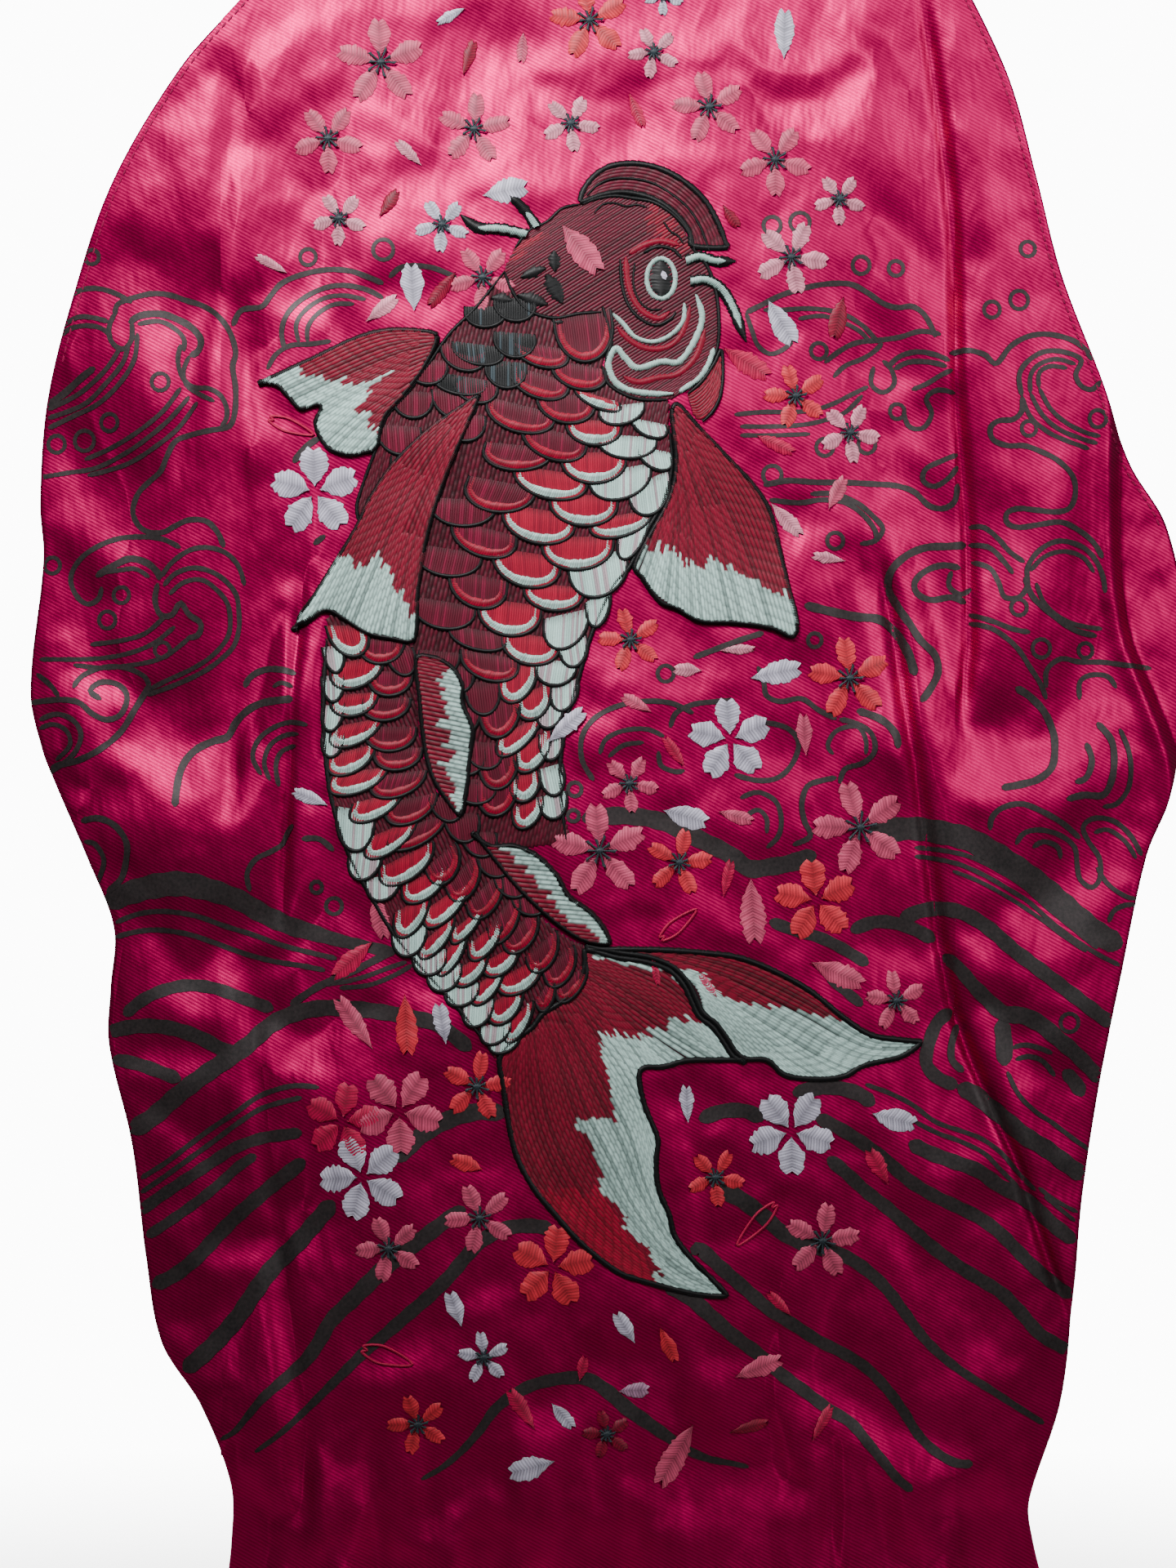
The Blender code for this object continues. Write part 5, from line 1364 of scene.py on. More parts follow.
def field_styles():
    """For each field: guides (or the angle of straight rows), pitch, colours, and the ground colour, which is
    painted shade between the rows.
    """
    white = FIN_WHITE
    return {
        "carp_crest": (CREST_GUIDES, 1.1, plain(CRIMSON), GROOVE_SHADE_RED),
        "carp_head": (32.0, 0.9, zoned(CRIMSON, [(HEAD_RED_PATCH, RED), (HEAD_RED_BAND, RED)]), GROOVE_SHADE_RED),
        "gill_edge": (GILL_GUIDES, 0.9, plain(RED), GROOVE_SHADE_RED),
        "carp_front_body": (76.0, 1.2, plain(WINE), BODY_GROOVE_SHADE),
        "carp_rear_body": (112.0, 1.2, plain(WINE), BODY_GROOVE_SHADE),
        "fin_left_upper": (FIN_UPPER_GUIDES, 1.3, zoned(FIN_RED, [(FIN_UPPER_WHITE, white)]), GROOVE_SHADE_RED),
        "fin_left_lower": (FIN_LOWER_GUIDES, 1.3, zoned(FIN_RED, [(FIN_LOWER_WHITE, white)]), GROOVE_SHADE_RED),
        "fin_right": (FIN_RIGHT_GUIDES, 1.3, zoned(FIN_RED, [(FIN_RIGHT_WHITE, white)]), GROOVE_SHADE_RED),
        "dorsal_front": (-12.0, 1.3, zoned(FIN_RED, [(DORSAL_FRONT_WHITE, white)]), GROOVE_SHADE_RED),
        "dorsal_rear": (-5.0, 1.3, zoned(FIN_RED, [(DORSAL_REAR_WHITE, white)]), GROOVE_SHADE_RED),
        "tail_main": (TAIL_MAIN_GUIDES, 1.4,
                      zoned(FIN_RED, [(TAIL_MAIN_RED, BRIGHT_RED), (TAIL_MAIN_WHITE, white),
                                      (TAIL_SPINE_WHITE, white)]), GROOVE_SHADE_RED),
        "tail_upper": (TAIL_UPPER_GUIDES, 1.3, zoned(FIN_RED, [(TAIL_UPPER_WHITE, white)]), GROOVE_SHADE_RED),
    }


HEAD_RED_PATCH = [(20, 467), (26, 465), (32, 459), (35, 452), (33, 450), (27, 453), (22, 458), (20, 463)]
HEAD_RED_BAND = [(-15, 457.5), (-20, 456), (-24, 452), (-27.5, 446), (-25, 447), (-20, 452), (-15, 455.5)]


def field_outline(name):
    return catmull(FIELDS[name], cyclic=True, pieces=6)[:-1]


def inset(outline, distance):
    """The closed outline moved inwards."""
    p, q = outline, np.roll(outline, -1, axis=0)
    inward = 1.0 if (p[:, 0] * q[:, 1] - q[:, 0] * p[:, 1]).sum() > 0 else -1.0
    along = np.roll(outline, -1, axis=0) - np.roll(outline, 1, axis=0)
    along /= np.linalg.norm(along, axis=1, keepdims=True)
    return outline + inward * distance * np.stack([-along[:, 1], along[:, 0]], axis=1)


def closed(outline):
    return np.vstack([outline, outline[:1]])


def add_carp_fields():
    for seed, (name, (guides, pitch, colour_at, ground)) in enumerate(field_styles().items()):
        outline = field_outline(name)
        high = name in HIGH_FIELDS
        if np.isscalar(guides):
            guides = straight_guides(outline, guides)
        field = Threads(seed)
        # The ground under the rows is dark as painted shade, for the gaps between the rows.
        field.patch(inset(outline, 0.4), HIGH_PATCH if high else LOW_PATCH, ground)
        field.rows(inset(outline, 0.9) if name in CORDED else outline, guides, pitch,
                   HIGH_ROWS if high else LOW_ROWS, ROW_CROWN, colour_at,
                   width=0.6 * pitch)
        slot = "carp_thread" if name.startswith(("carp", "gill")) else "fin_thread"
        field.finish(f"{name}_stitches", slot, [name])
        if name in CORDED:
            edge = Threads(50 + seed)
            edge.column(closed(inset(outline, 0.9)), 1.1, 2.3 if high else 1.1, BLACK, 0.2 if high else 0.3)
            edge.finish(f"{name}_border", "black_thread", [f"outline_{name}"])


# Scales: kind, then (tip, left end, right end)
WHITE_RIMMED = [
    ((5, 396.5), (-3, 402), (10, 398)), ((2, 384.5), (-6, 391), (10, 390)),
    ((2, 371.5), (-7.5, 379), (11.5, 379)), ((-12, 366), (-23.5, 374.5), (-2, 371.5)),
    ((-1.5, 357), (-11.5, 365), (8.5, 364)), ((10, 353), (2, 357), (20, 360)),
    ((-17, 351), (-27.5, 361), (-6, 357.5)), ((-4, 342), (-14, 350), (7, 350)),
    ((-20.5, 336), (-31, 346), (-11, 343)), ((-12, 328), (-20.5, 335), (-3, 333.5)),
    ((-27.5, 319.5), (-36, 329), (-17.5, 326.5)), ((-20, 309.5), (-28, 318), (-11, 315.5)),
    ((-24, 297), (-29.5, 303), (-18, 308)), ((-18, 291), (-24, 296), (-13.5, 300)),
    ((-26, 279), (-30, 283), (-17.5, 289)), ((-19, 273.5), (-24.5, 278), (-13.5, 284)),
    ((-21, 263), (-26, 268), (-17, 271)), ((-20.5, 254), (-25, 258), (-16, 262)),
]
RED_RIMMED = [
    ((0, 413), (-10, 424), (7, 426)), ((-15, 411), (-24, 418), (-8, 415)),
    ((-3, 403.5), (-11, 411), (5, 408)),
    ((-17, 400.5), (-25, 409), (-8, 404)), ((-7.5, 392), (-16, 400), (1, 398)),
    ((-24, 389), (-33, 398), (-13, 393)), ((-12, 379.5), (-21, 389), (-2, 384)),
    ((-26, 376), (-34, 383), (-14, 381)), ((-33, 362), (-40, 371), (-20, 367)),
    ((-36, 346.5), (-45, 356), (-26, 351)), ((-38, 329), (-46, 339), (-29, 335)),
    ((-33, 304), (-42, 312), (-25, 309)), ((-29, 285), (-36, 292), (-24, 297)),
    ((-29, 267.5), (-36, 273), (-25, 278)), ((-31, 258), (-37, 266), (-25, 268)),
]
DARK_SCALES = [
    ((-43, 357), (-52, 364), (-33, 363)), ((-49, 340), (-57, 348), (-38, 345)),
    ((-50, 322), (-58, 330), (-40, 327)), ((-37, 314.5), (-46, 321), (-29, 318)),
    ((-35, 292.5), (-41, 300), (-31, 301)), ((-35, 274), (-41, 281), (-30, 280)),
    ((-55, 405.5), (-61, 412), (-49, 411)), ((-60, 394), (-66, 401), (-54, 400)),
    ((-64, 381.5), (-71, 389), (-58, 388)), ((-45, 393.5), (-52, 401), (-39, 399)),
    ((-42, 386), (-48, 393), (-36, 392)), ((-38, 399), (-45, 406), (-32, 404)),
    ((-42, 410), (-49, 417), (-36, 415)), ((-58, 370), (-66, 378), (-50, 377)),
    ((-64, 352), (-71, 360), (-56, 358)), ((-52, 305), (-57, 312), (-45, 311)),
    ((-45, 300), (-51, 307), (-40, 306)), ((-44, 286), (-50, 293), (-38, 292)),
    ((-42, 272), (-48, 279), (-36, 278)), ((-38, 262), (-44, 268), (-32, 268)),
    ((-62, 306), (-68, 312), (-60, 313)), ((-47, 256), (-53, 262), (-44, 262)),
    ((-42, 249), (-48, 256), (-38, 256)), ((-36, 244), (-42, 250), (-32, 250)),
    ((-31, 237), (-37, 243), (-27, 243)), ((-25, 230), (-31, 236), (-21, 236)),
    ((-19, 224), (-25, 229), (-15, 229)),
]
BLACK_SCALES = [((-37, 412), (-45, 418), (-30, 416)), ((-44, 402), (-52, 408), (-36, 405)),
                ((-25, 414.5), (-31, 421), (-19, 420)), ((-28, 404), (-34, 411), (-22, 410)),
                ((-25, 427), (-31, 433), (-19, 432)), ((-35, 425), (-41, 430), (-29, 430))]
BELLY_SCALES = [
    ((11, 391.5), (5, 395.5), (18, 397)), ((22, 387), (16, 392), (26, 390)), ((13, 380), (5, 386), (22, 385)),
    ((24, 376), (18, 382), (28, 380)), ((11, 366), (2, 372), (20, 375)), ((22, 361), (15, 367), (27, 372)),
    ((14, 346), (11, 352), (20, 357)), ((5, 333), (-5, 340), (12, 345)), ((4, 323), (0, 328), (7, 333)),
    ((-8, 315), (-14, 322), (-1, 325)), ((-4, 309), (-9, 314), (-1, 317)),
    ((-12, 302.5), (-17, 309), (-5, 308)), ((-8, 294), (-12, 299), (-4, 302)),
    ((-13, 288), (-17, 293), (-9, 295)), ((-12.5, 277), (-16, 283), (-9, 284)),
    ((-11, 265), (-16, 271), (-9, 273)), ((-11, 257), (-16, 262), (-8, 264)),
    ((-86, 307), (-90, 313), (-84, 314)), ((-87, 297), (-90.5, 303), (-84, 304)),
    ((-88, 287), (-90.5, 293), (-84, 294)), ((-88, 278), (-90.5, 284), (-84, 284)),
    ((-80, 246), (-85, 257), (-74, 255)), ((-77, 236), (-81, 243), (-71, 244)),
    ((-70, 229), (-75, 234), (-65, 236)), ((-61, 210), (-66, 216), (-56, 218)),
    ((-54, 203.5), (-59, 209), (-49, 210)), ((-49, 198), (-54, 203), (-44, 205)),
    ((-43, 193), (-48, 197), (-38, 199)), ((-38, 186), (-42, 191), (-33, 193)),
    ((-32, 180), (-36, 184), (-27, 186)), ((-29, 177), (-33, 180), (-24, 182)),
]
FLANK_WHITE = [
    ((-80, 312.5), (-88, 320), (-76, 320)), ((-80, 301.5), (-87, 307), (-71, 310)),
    ((-81, 292), (-87, 297), (-73, 298)), ((-82, 281.5), (-87, 286), (-72, 289)),
    ((-82, 272), (-88, 276), (-74, 280)), ((-82, 265), (-87, 270), (-70.5, 272)),
    ((-75, 256), (-80, 260), (-65, 264)), ((-70, 244), (-75, 248), (-60, 254)),
    ((-62, 235.5), (-70, 238), (-54, 246)), ((-56, 229), (-62.5, 232), (-49, 238.5)),
    ((-49, 221.5), (-55, 223.5), (-41.5, 233)), ((-42, 216), (-46, 217), (-36.5, 225)),
    ((-35, 210), (-40, 212), (-30, 220)), ((-29, 204), (-35, 206), (-24.5, 212)),
    ((-22, 198), (-30, 200), (-17, 207)), ((-61, 217), (-65.5, 222), (-55, 228)),
    ((-52, 211), (-57, 212), (-46.5, 221)), ((-47, 205), (-51, 207), (-42, 216)),
    ((-40, 200.5), (-45, 203), (-35, 209)), ((-35, 194.5), (-39, 197), (-29.5, 204)),
    ((-28, 187.5), (-33.5, 191), (-23, 197)), ((-24, 182), (-28, 184), (-19.5, 192)),
]
FLANK_RED = [
    ((-71, 310), (-77, 316), (-64, 316)), ((-68, 299), (-74, 305), (-61, 305)),
    ((-70, 290.5), (-76, 296), (-62, 296)), ((-68, 280), (-75, 286), (-60, 286)),
    ((-66, 273.5), (-72, 279), (-58, 279)), ((-67, 264), (-73, 269), (-57, 271)),
    ((-62, 255), (-68, 260), (-53, 263)), ((-60, 247), (-67, 250), (-50, 256)),
    ((-47, 236), (-54, 238), (-45, 246)), ((-40, 231), (-47, 232), (-38, 242)),
    ((-33, 225), (-40, 226), (-30, 236)), ((-27, 217), (-33, 218), (-24, 229)),
    ((-21, 213), (-28, 214), (-18, 223)), ((-14, 206), (-20, 208), (-11, 216)),
    ((-8, 201), (-14, 203), (-5, 211)), ((-5, 196), (-10, 197), (-1, 205)),
    ((-13, 193), (-17, 193.5), (-12, 201)),
]
SCALE_LOW, SCALE_HIGH = 0.55, 1.05
SCALE_TUCK = 0.4          # a scale runs on under the one above it, as a part of its depth
SCALE_SPREAD = 1.15        # each scale is this much wider than its bare chord
STREAK_STEP = 0.8


FILL_REACH = 0.94         # the outermost fill streaks, as a share of a scale's half width
FILL_STEP = 0.9           # millimetres between the places along a streak


def add_scale(threads, tip, left, right, rim, rim_colour, fill, fill_share):
    """One scale: a ground in the fill colour darkened as painted shade, fill stitches along its axis with
    painted shade at their root and sides, a rim column and a black outline.
    """
    tip, left, right = (np.array(p, float) for p in (tip, left, right))
    middle = (left + right) / 2
    half_chord, down = SCALE_SPREAD * (right - left) / 2, tip - middle
    width, depth = np.linalg.norm(half_chord), np.linalg.norm(down)
    turn = np.linspace(math.pi, 0, 30)[:, None]
    across = np.cos(turn)

    def arc(inset_by):
        """The scale's edge moved inwards, with its ends run on under the scale above."""
        curve = (middle + across * half_chord * (1 - inset_by / width)
                 + np.sin(turn) * down * (1 - inset_by / depth))
        return np.vstack([curve[:1] - SCALE_TUCK * down, curve, curve[-1:] - SCALE_TUCK * down])

    edge = arc(0.0)
    top = middle - SCALE_TUCK * down + np.vstack([across[:1], across, across[-1:]]) * half_chord
    rise = SCALE_LOW + (SCALE_HIGH - SCALE_LOW) * np.r_[0, np.sin(turn[:, 0]), 0]
    steps = np.linspace(0, 1, 6)[:, None]
    lattice = top + (edge - top) * steps[..., None] * 0.98
    # The scale's ground is its fill colour at 0.7: painted shade under and between the streaks.
    threads.strip(lattice[..., 0], lattice[..., 1], SCALE_LOW + (rise - SCALE_LOW) * steps,
                  0.7 * np.asarray(fill[0]))
    reach = max(0.3, 1 - (rim + 0.4) / depth) if rim else 0.93
    for x in np.linspace(-FILL_REACH, FILL_REACH, max(5, int(2 * width / STREAK_STEP))):
        bend = math.sqrt(1 - x * x)
        start = middle + x * half_chord - SCALE_TUCK * down
        end = middle + x * half_chord * (0.97 if rim else 1) + bend * reach * down
        count = max(4, int(np.linalg.norm(end - start) / FILL_STEP))
        line = start + (end - start) * np.linspace(0, 1, count)[:, None]
        low = SCALE_LOW + 0.02 + (SCALE_HIGH - SCALE_LOW) * bend * np.linspace(0, reach, len(line))
        colour = np.asarray(fill[1] if threads.rng.uniform() < fill_share else fill[0])
        colour = colour * threads.rng.uniform(0.85, 1.12)
        normal = sideways(line) * 0.55 * STREAK_STEP
        swell = 0.4 * np.sin(np.linspace(0.25, math.pi - 0.25, len(line)))
        sides = np.array([-1.0, 0.0, 1.0])
        # Painted shade: each streak starts at half its colour where it runs out from under the scale above
        # and brightens over its first part; its sides are at 0.6.
        threads.strip(line[:, 0:1] + normal[:, 0:1] * sides, line[:, 1:2] + normal[:, 1:2] * sides,
                      np.stack([low, low + swell, low], axis=1),
                      np.clip(np.linspace(0.5, 2.2, len(line)), 0, 1)[:, None, None]
                      * np.stack([0.6 * colour, colour, 0.6 * colour]))
    level = [(0, SCALE_LOW - 0.3), (0.15, SCALE_LOW), (0.5, SCALE_HIGH - 0.1), (0.85, SCALE_LOW),
             (1, SCALE_LOW - 0.3)]
    if rim:
        half = [(0, 0.2 * rim), (0.2, 0.36 * rim), (0.5, 0.5 * rim), (0.8, 0.36 * rim), (1, 0.2 * rim)]
        threads.column(arc(0.5 + 0.45 * rim), half, 0.6, rim_colour, level, pitch=0.8, contrast=0.2)
    threads.column(edge, 0.7, 0.75, BLACK, level, pitch=0.6)


def add_scales():
    kinds = (
        ("scales_dark", DARK_SCALES, 0, BLACK, (WINE, WINE_PINK), 0.25, "carp_thread"),
        ("scales_black", BLACK_SCALES, 0, BLACK, (BLACK, CHARCOAL), 0.2, "black_thread"),
        ("scales_belly", BELLY_SCALES, 0, BLACK, (FIN_WHITE, BELLY_PINK), 0.3, "white_thread"),
        ("scales_red_rimmed", RED_RIMMED + FLANK_RED, 3.0, BRIGHT_RED, (WINE, WINE_PINK), 0.25,
         "carp_thread"),
        ("scales_white_rimmed", WHITE_RIMMED + FLANK_WHITE, 3.2, FIN_WHITE, (BRIGHT_RED, RED), 0.25,
         "white_thread"),
    )
    for seed, (name, scales, rim, rim_colour, fill, fill_share, slot) in enumerate(kinds):
        threads = Threads(100 + seed)
        for tip, left, right in scales:
            add_scale(threads, tip, left, right, rim, rim_colour, fill, fill_share)
        threads.finish(name, slot)


# Head details: route, half width, crown, colour
EYE_CENTRE = (25.0, 441.5)
HEAD_LINES = [
    ([(-0.5, 470), (3, 473.5), (8, 475.8), (15, 476), (22, 474.5), (28, 471), (34, 466), (38, 460),
      (40, 455), (41.5, 451)], 0.55, 1.0, BLACK),
    ([(-2, 467), (3, 469), (9, 470), (15, 469.3), (22, 468), (28, 464.5), (33, 459.5), (35.5, 455),
      (36.5, 451)], 0.8, 1.1, BLACK),
    ([(2, 464), (5, 467), (9, 467.5), (13, 466.5), (17, 467), (20, 466)], 0.5, 0.9, BLACK),
    ([(26, 461), (28, 458), (31, 456), (32.5, 453.5)], 0.5, 0.9, BLACK),
    ([(11, 448), (11.5, 440), (13.5, 433), (17.5, 428), (23, 425.5), (28, 427.5), (30, 430)], 0.7, 1.1,
     BLACK),
    ([(13, 449), (13.5, 441), (15.5, 434.5), (19, 430), (24, 427.8), (28, 430)], 1.1, 0.9, RED),
    ([(16, 447), (15.5, 440), (17.5, 434), (21, 431), (25, 431)], 0.45, 0.9, BLACK),
    ([(14, 450), (19, 453), (25, 454.5), (31, 453)], 1.2, 0.9, RED),
    ([(19, 450.5), (24, 452.5), (29, 451.5), (32, 448.5)], 0.7, 1.1, BLACK),
    ([(5, 432), (7, 425), (8, 420), (6, 413)], 0.8, 1.1, BLACK),
    ([(10, 425), (14, 420.5), (20, 417.5), (27, 418), (32, 422.5), (35, 432)], 1.1, 0.9, RED),
    ([(12, 408), (17, 406), (24, 407.5), (31, 409), (37, 415), (40, 424)], 1.2, 0.9, RED),
    ([(34, 402), (39, 406.5), (43, 412.5), (45.5, 417), (46, 408), (45, 401), (42.5, 396), (39, 392.5)],
     0.7, 1.1, BLACK),
    ([(-25, 452), (-20, 458), (-14, 461), (-9, 465.5), (-3, 467)], 0.6, 1.0, BLACK),
    ([(35.5, 452), (40, 447), (43, 440), (44.5, 431), (44.5, 420), (42, 413), (38, 407), (33, 403)],
     0.7, 1.1, BLACK),
    ([(27, 400), (19, 400), (13, 401.5), (7, 405.5), (5, 411.5)], 0.7, 1.1, BLACK),
    ([(-28.5, 444), (-26, 437.5), (-21, 431), (-12, 428), (-3, 429.5), (4.5, 430)], 0.7, 1.1, BLACK),
    ([(-75, 350), (-79, 362), (-77, 371), (-73, 382), (-69, 394), (-62, 402), (-54, 413), (-47, 423),
      (-38, 432), (-28.5, 444)], 0.7, 1.1, BLACK),
    ([(27.5, 391), (28.6, 381), (28, 373), (25, 364), (20, 355), (14.5, 343.5), (9, 337), (5, 329),
      (0.5, 318), (-3.5, 304), (-7.5, 290), (-9.5, 276), (-9, 262), (-7.5, 250)], 0.9, 1.1, BLACK),
    ([(-35, 180.5), (-45, 193), (-55, 204), (-66, 217), (-74, 230), (-81, 243), (-86, 257), (-89, 271),
      (-90.5, 288), (-90.5, 303), (-89.5, 318)], 0.9, 1.1, BLACK),
]
# Black ovals on the head: end, end, width
HEAD_OVALS = [((-11.5, 444), (-11.5, 451), 5), ((-23, 442), (-14.5, 445), 4.5), ((-14, 443), (-9, 433), 6.5),
              ((-24, 436), (-14, 432.5), 5.5), ((-33, 435), (-26, 434), 5),
              ((-11.5, 426.5), (-8.5, 426.5), 3)]
# Cords that stand proud: mint over black. Route, half width of the mint, black tip from this share on
BARBELS = {
    "barbel_right_upper": ([(33.5, 447.5), (38, 449), (43.5, 447.5), (50.5, 447.5)], 1.5, 0.82),
    "barbel_right_lower": ([(35, 440.5), (40.5, 441), (46, 437.5), (50, 430.5), (52.3, 424), (54, 420)], 1.5,
                           0.86),
    "barbel_left_lower": ([(-21, 456.5), (-30, 458.5), (-37.5, 459), (-43.5, 463.5)], 1.5, 0.7),
    "barbel_left_upper": ([(-17.5, 459), (-20.5, 463.5), (-24, 467.5), (-27, 470)], 1.3, 0.45),
}
JAW_CORDS = {
    "jaw_cord_inner": ([(8.5, 429.5), (12, 426), (16, 421.5), (22, 419.8), (28, 422), (32.5, 427), (33, 433)],
                       0.8),
    "jaw_cord_middle": ([(37, 436), (39, 428), (36, 419.5), (31, 413), (25, 413), (17, 410.8), (13, 414),
                         (9.5, 417.5), (7, 412.5), (9, 406.5), (14, 403.2), (22, 402), (29, 402)], 1.1),
    "jaw_cord_outer": ([(43, 417.5), (41, 412), (37.5, 407), (31, 402.7)], 1.0),
}


def ellipse(centre, radius_u, radius_v, count=24):
    turns = np.linspace(0, 2 * math.pi, count + 1)
    return np.stack([centre[0] + radius_u * np.cos(turns), centre[1] + radius_v * np.sin(turns)], axis=1)


def add_head():
    lines = Threads(200)
    for points, half, crown, colour in HEAD_LINES:
        lines.column(route(points, 0.4), [(0, 0.3), (0.08, half), (0.92, half), (1, 0.3)], crown, colour, 0.3)
    for start, end, width in HEAD_OVALS:
        half = [(0, 0.1 * width), (0.25, 0.4 * width), (0.5, 0.5 * width), (0.75, 0.4 * width),
                (1, 0.1 * width)]
        lines.column(np.array([start, end], float), half, 1.0, BLACK, 0.3)
    lines.finish("head_lines", "black_thread")
    eye = Threads(201)
    eye.column(ellipse(EYE_CENTRE, 4.9, 6.9), 0.85, 1.3, MINT, 0.5)
    eye.finish("eye_white", "white_thread", ["eye_ring"])
    pupil = Threads(202)
    pupil.column(np.array([(25, 435.6), (25, 447.4)], float),
                 [(0, 1.4), (0.2, 3.2), (0.5, 4.0), (0.8, 3.2), (1, 1.4)], 0.9, BLACK, 0.5)
    pupil.column(np.array([(26, 441.2), (26, 443.8)], float), [(0, 0.5), (0.5, 1.1), (1, 0.5)], 0.5,
                 WHITE_LILAC, 1.3)
    pupil.finish("eye_pupil", "black_thread", ["pupil"])
    for seed, (name, (points, half, black_from)) in enumerate(BARBELS.items()):
        cord = Threads(210 + seed)
        path = route(points, 0.4)
        cut = int(len(path) * black_from)
        cord.column(path, [(0, half + 0.7), (0.8, half + 0.5), (1, 0.3)], [(0, 1.6), (0.8, 1.5), (1, 0.6)],
                    BLACK, 0.2)
        cord.column(path[:cut], [(0, half), (0.85, 0.9 * half), (1, 0.4)], [(0, 2.3), (0.85, 2.1), (1, 1.2)],
                    MINT, 0.5)
        cord.finish(f"{name}_stitches", "white_thread", [name])
    for seed, (name, (points, half)) in enumerate(JAW_CORDS.items()):
        cord = Threads(220 + seed)
        cord.column(route(points, 0.4), [(0, 0.4), (0.06, half), (0.94, half), (1, 0.4)], 1.3, MINT, 0.5)
        cord.finish(f"{name}_stitches", "white_thread", [name])


# ---------------------------------------------------------------- blossoms and petals

# u, v, radius, tilt in degrees, colour; the ones the CAD has come first, in its own order
LARGE_BLOSSOMS = [(-71, 516, 14.5, 93, PINK), (-89, 490, 11.5, 55, PINK), (-39, 493, 12, 85, PINK),
                  (41.5, 500.5, 12, 103, PINK), (64, 482.5, 12, 55, PINK),
                  (-93.5, 369, 14.5, 92, WHITE_LILAC),
                  (89.5, 305, 13.5, 98, CORAL), (48.5, 284, 13.5, 95, WHITE_LILAC),
                  (93, 254, 15.5, 107, PINK),
                  (78, 229, 13.5, 97, CORAL), (69.5, 150, 14, 55, WHITE_LILAC), (80, 112.5, 12.5, 80, PINK),
                  (-77, 134.4, 14, 40, WHITE_LILAC), (-58.2, 50, 10, 110, CORAL)]
SMALL_BLOSSOMS = [(-6, 495, 9.5, 62, PALE_PINK), (-85, 462.5, 9, 50, PALE_PINK),
                  (-50, 460, 9, 50, WHITE_LILAC),
                  (-36, 442, 11, 52, PINK), (0.6, 530.5, 13, 100, CORAL), (22.5, 519.5, 8.5, 43, PALE_PINK),
                  (26, 539, 6.5, 50, WHITE_LILAC), (86, 469, 8.5, 53, PALE_PINK),
                  (69.5, 449, 12, 65, PALE_PINK),
                  (71, 401.5, 10.5, 106, CORAL), (89.5, 389, 10, 62, PALE_PINK),
                  (14.5, 318, 10.5, 105, CORAL),
                  (14, 269, 9.5, 60, PINK), (4, 246, 15.5, 95, PINK), (31, 242, 11, 78, CORAL),
                  (105.5, 194.5, 10, 98, PINK), (-38, 165.5, 11.5, 80, CORAL),
                  (-84, 153.5, 12.5, 80, MAGENTA),
                  (-64.5, 157, 14, 57, PINK), (-68, 110, 11, 112, PINK), (-37, 120.5, 11.5, 112, PINK),
                  (-12, 104, 13.5, 82, CORAL), (43.5, 134.4, 9.5, 60, CORAL),
                  (-35.5, 73, 8.5, 98, WHITE_LILAC),
                  (6.5, 47, 8, 105, DEEP_MAGENTA)]
# Blossoms without the charcoal knots in their middle, by u and v
WITHOUT_KNOT = {(-93.5, 369), (48.5, 284), (78, 229), (69.5, 150), (-77, 134.4), (-84, 153.5), (-64.5, 157),
                (-12, 104)}
PETAL_REACH = 72.0        # degrees from one petal to the next

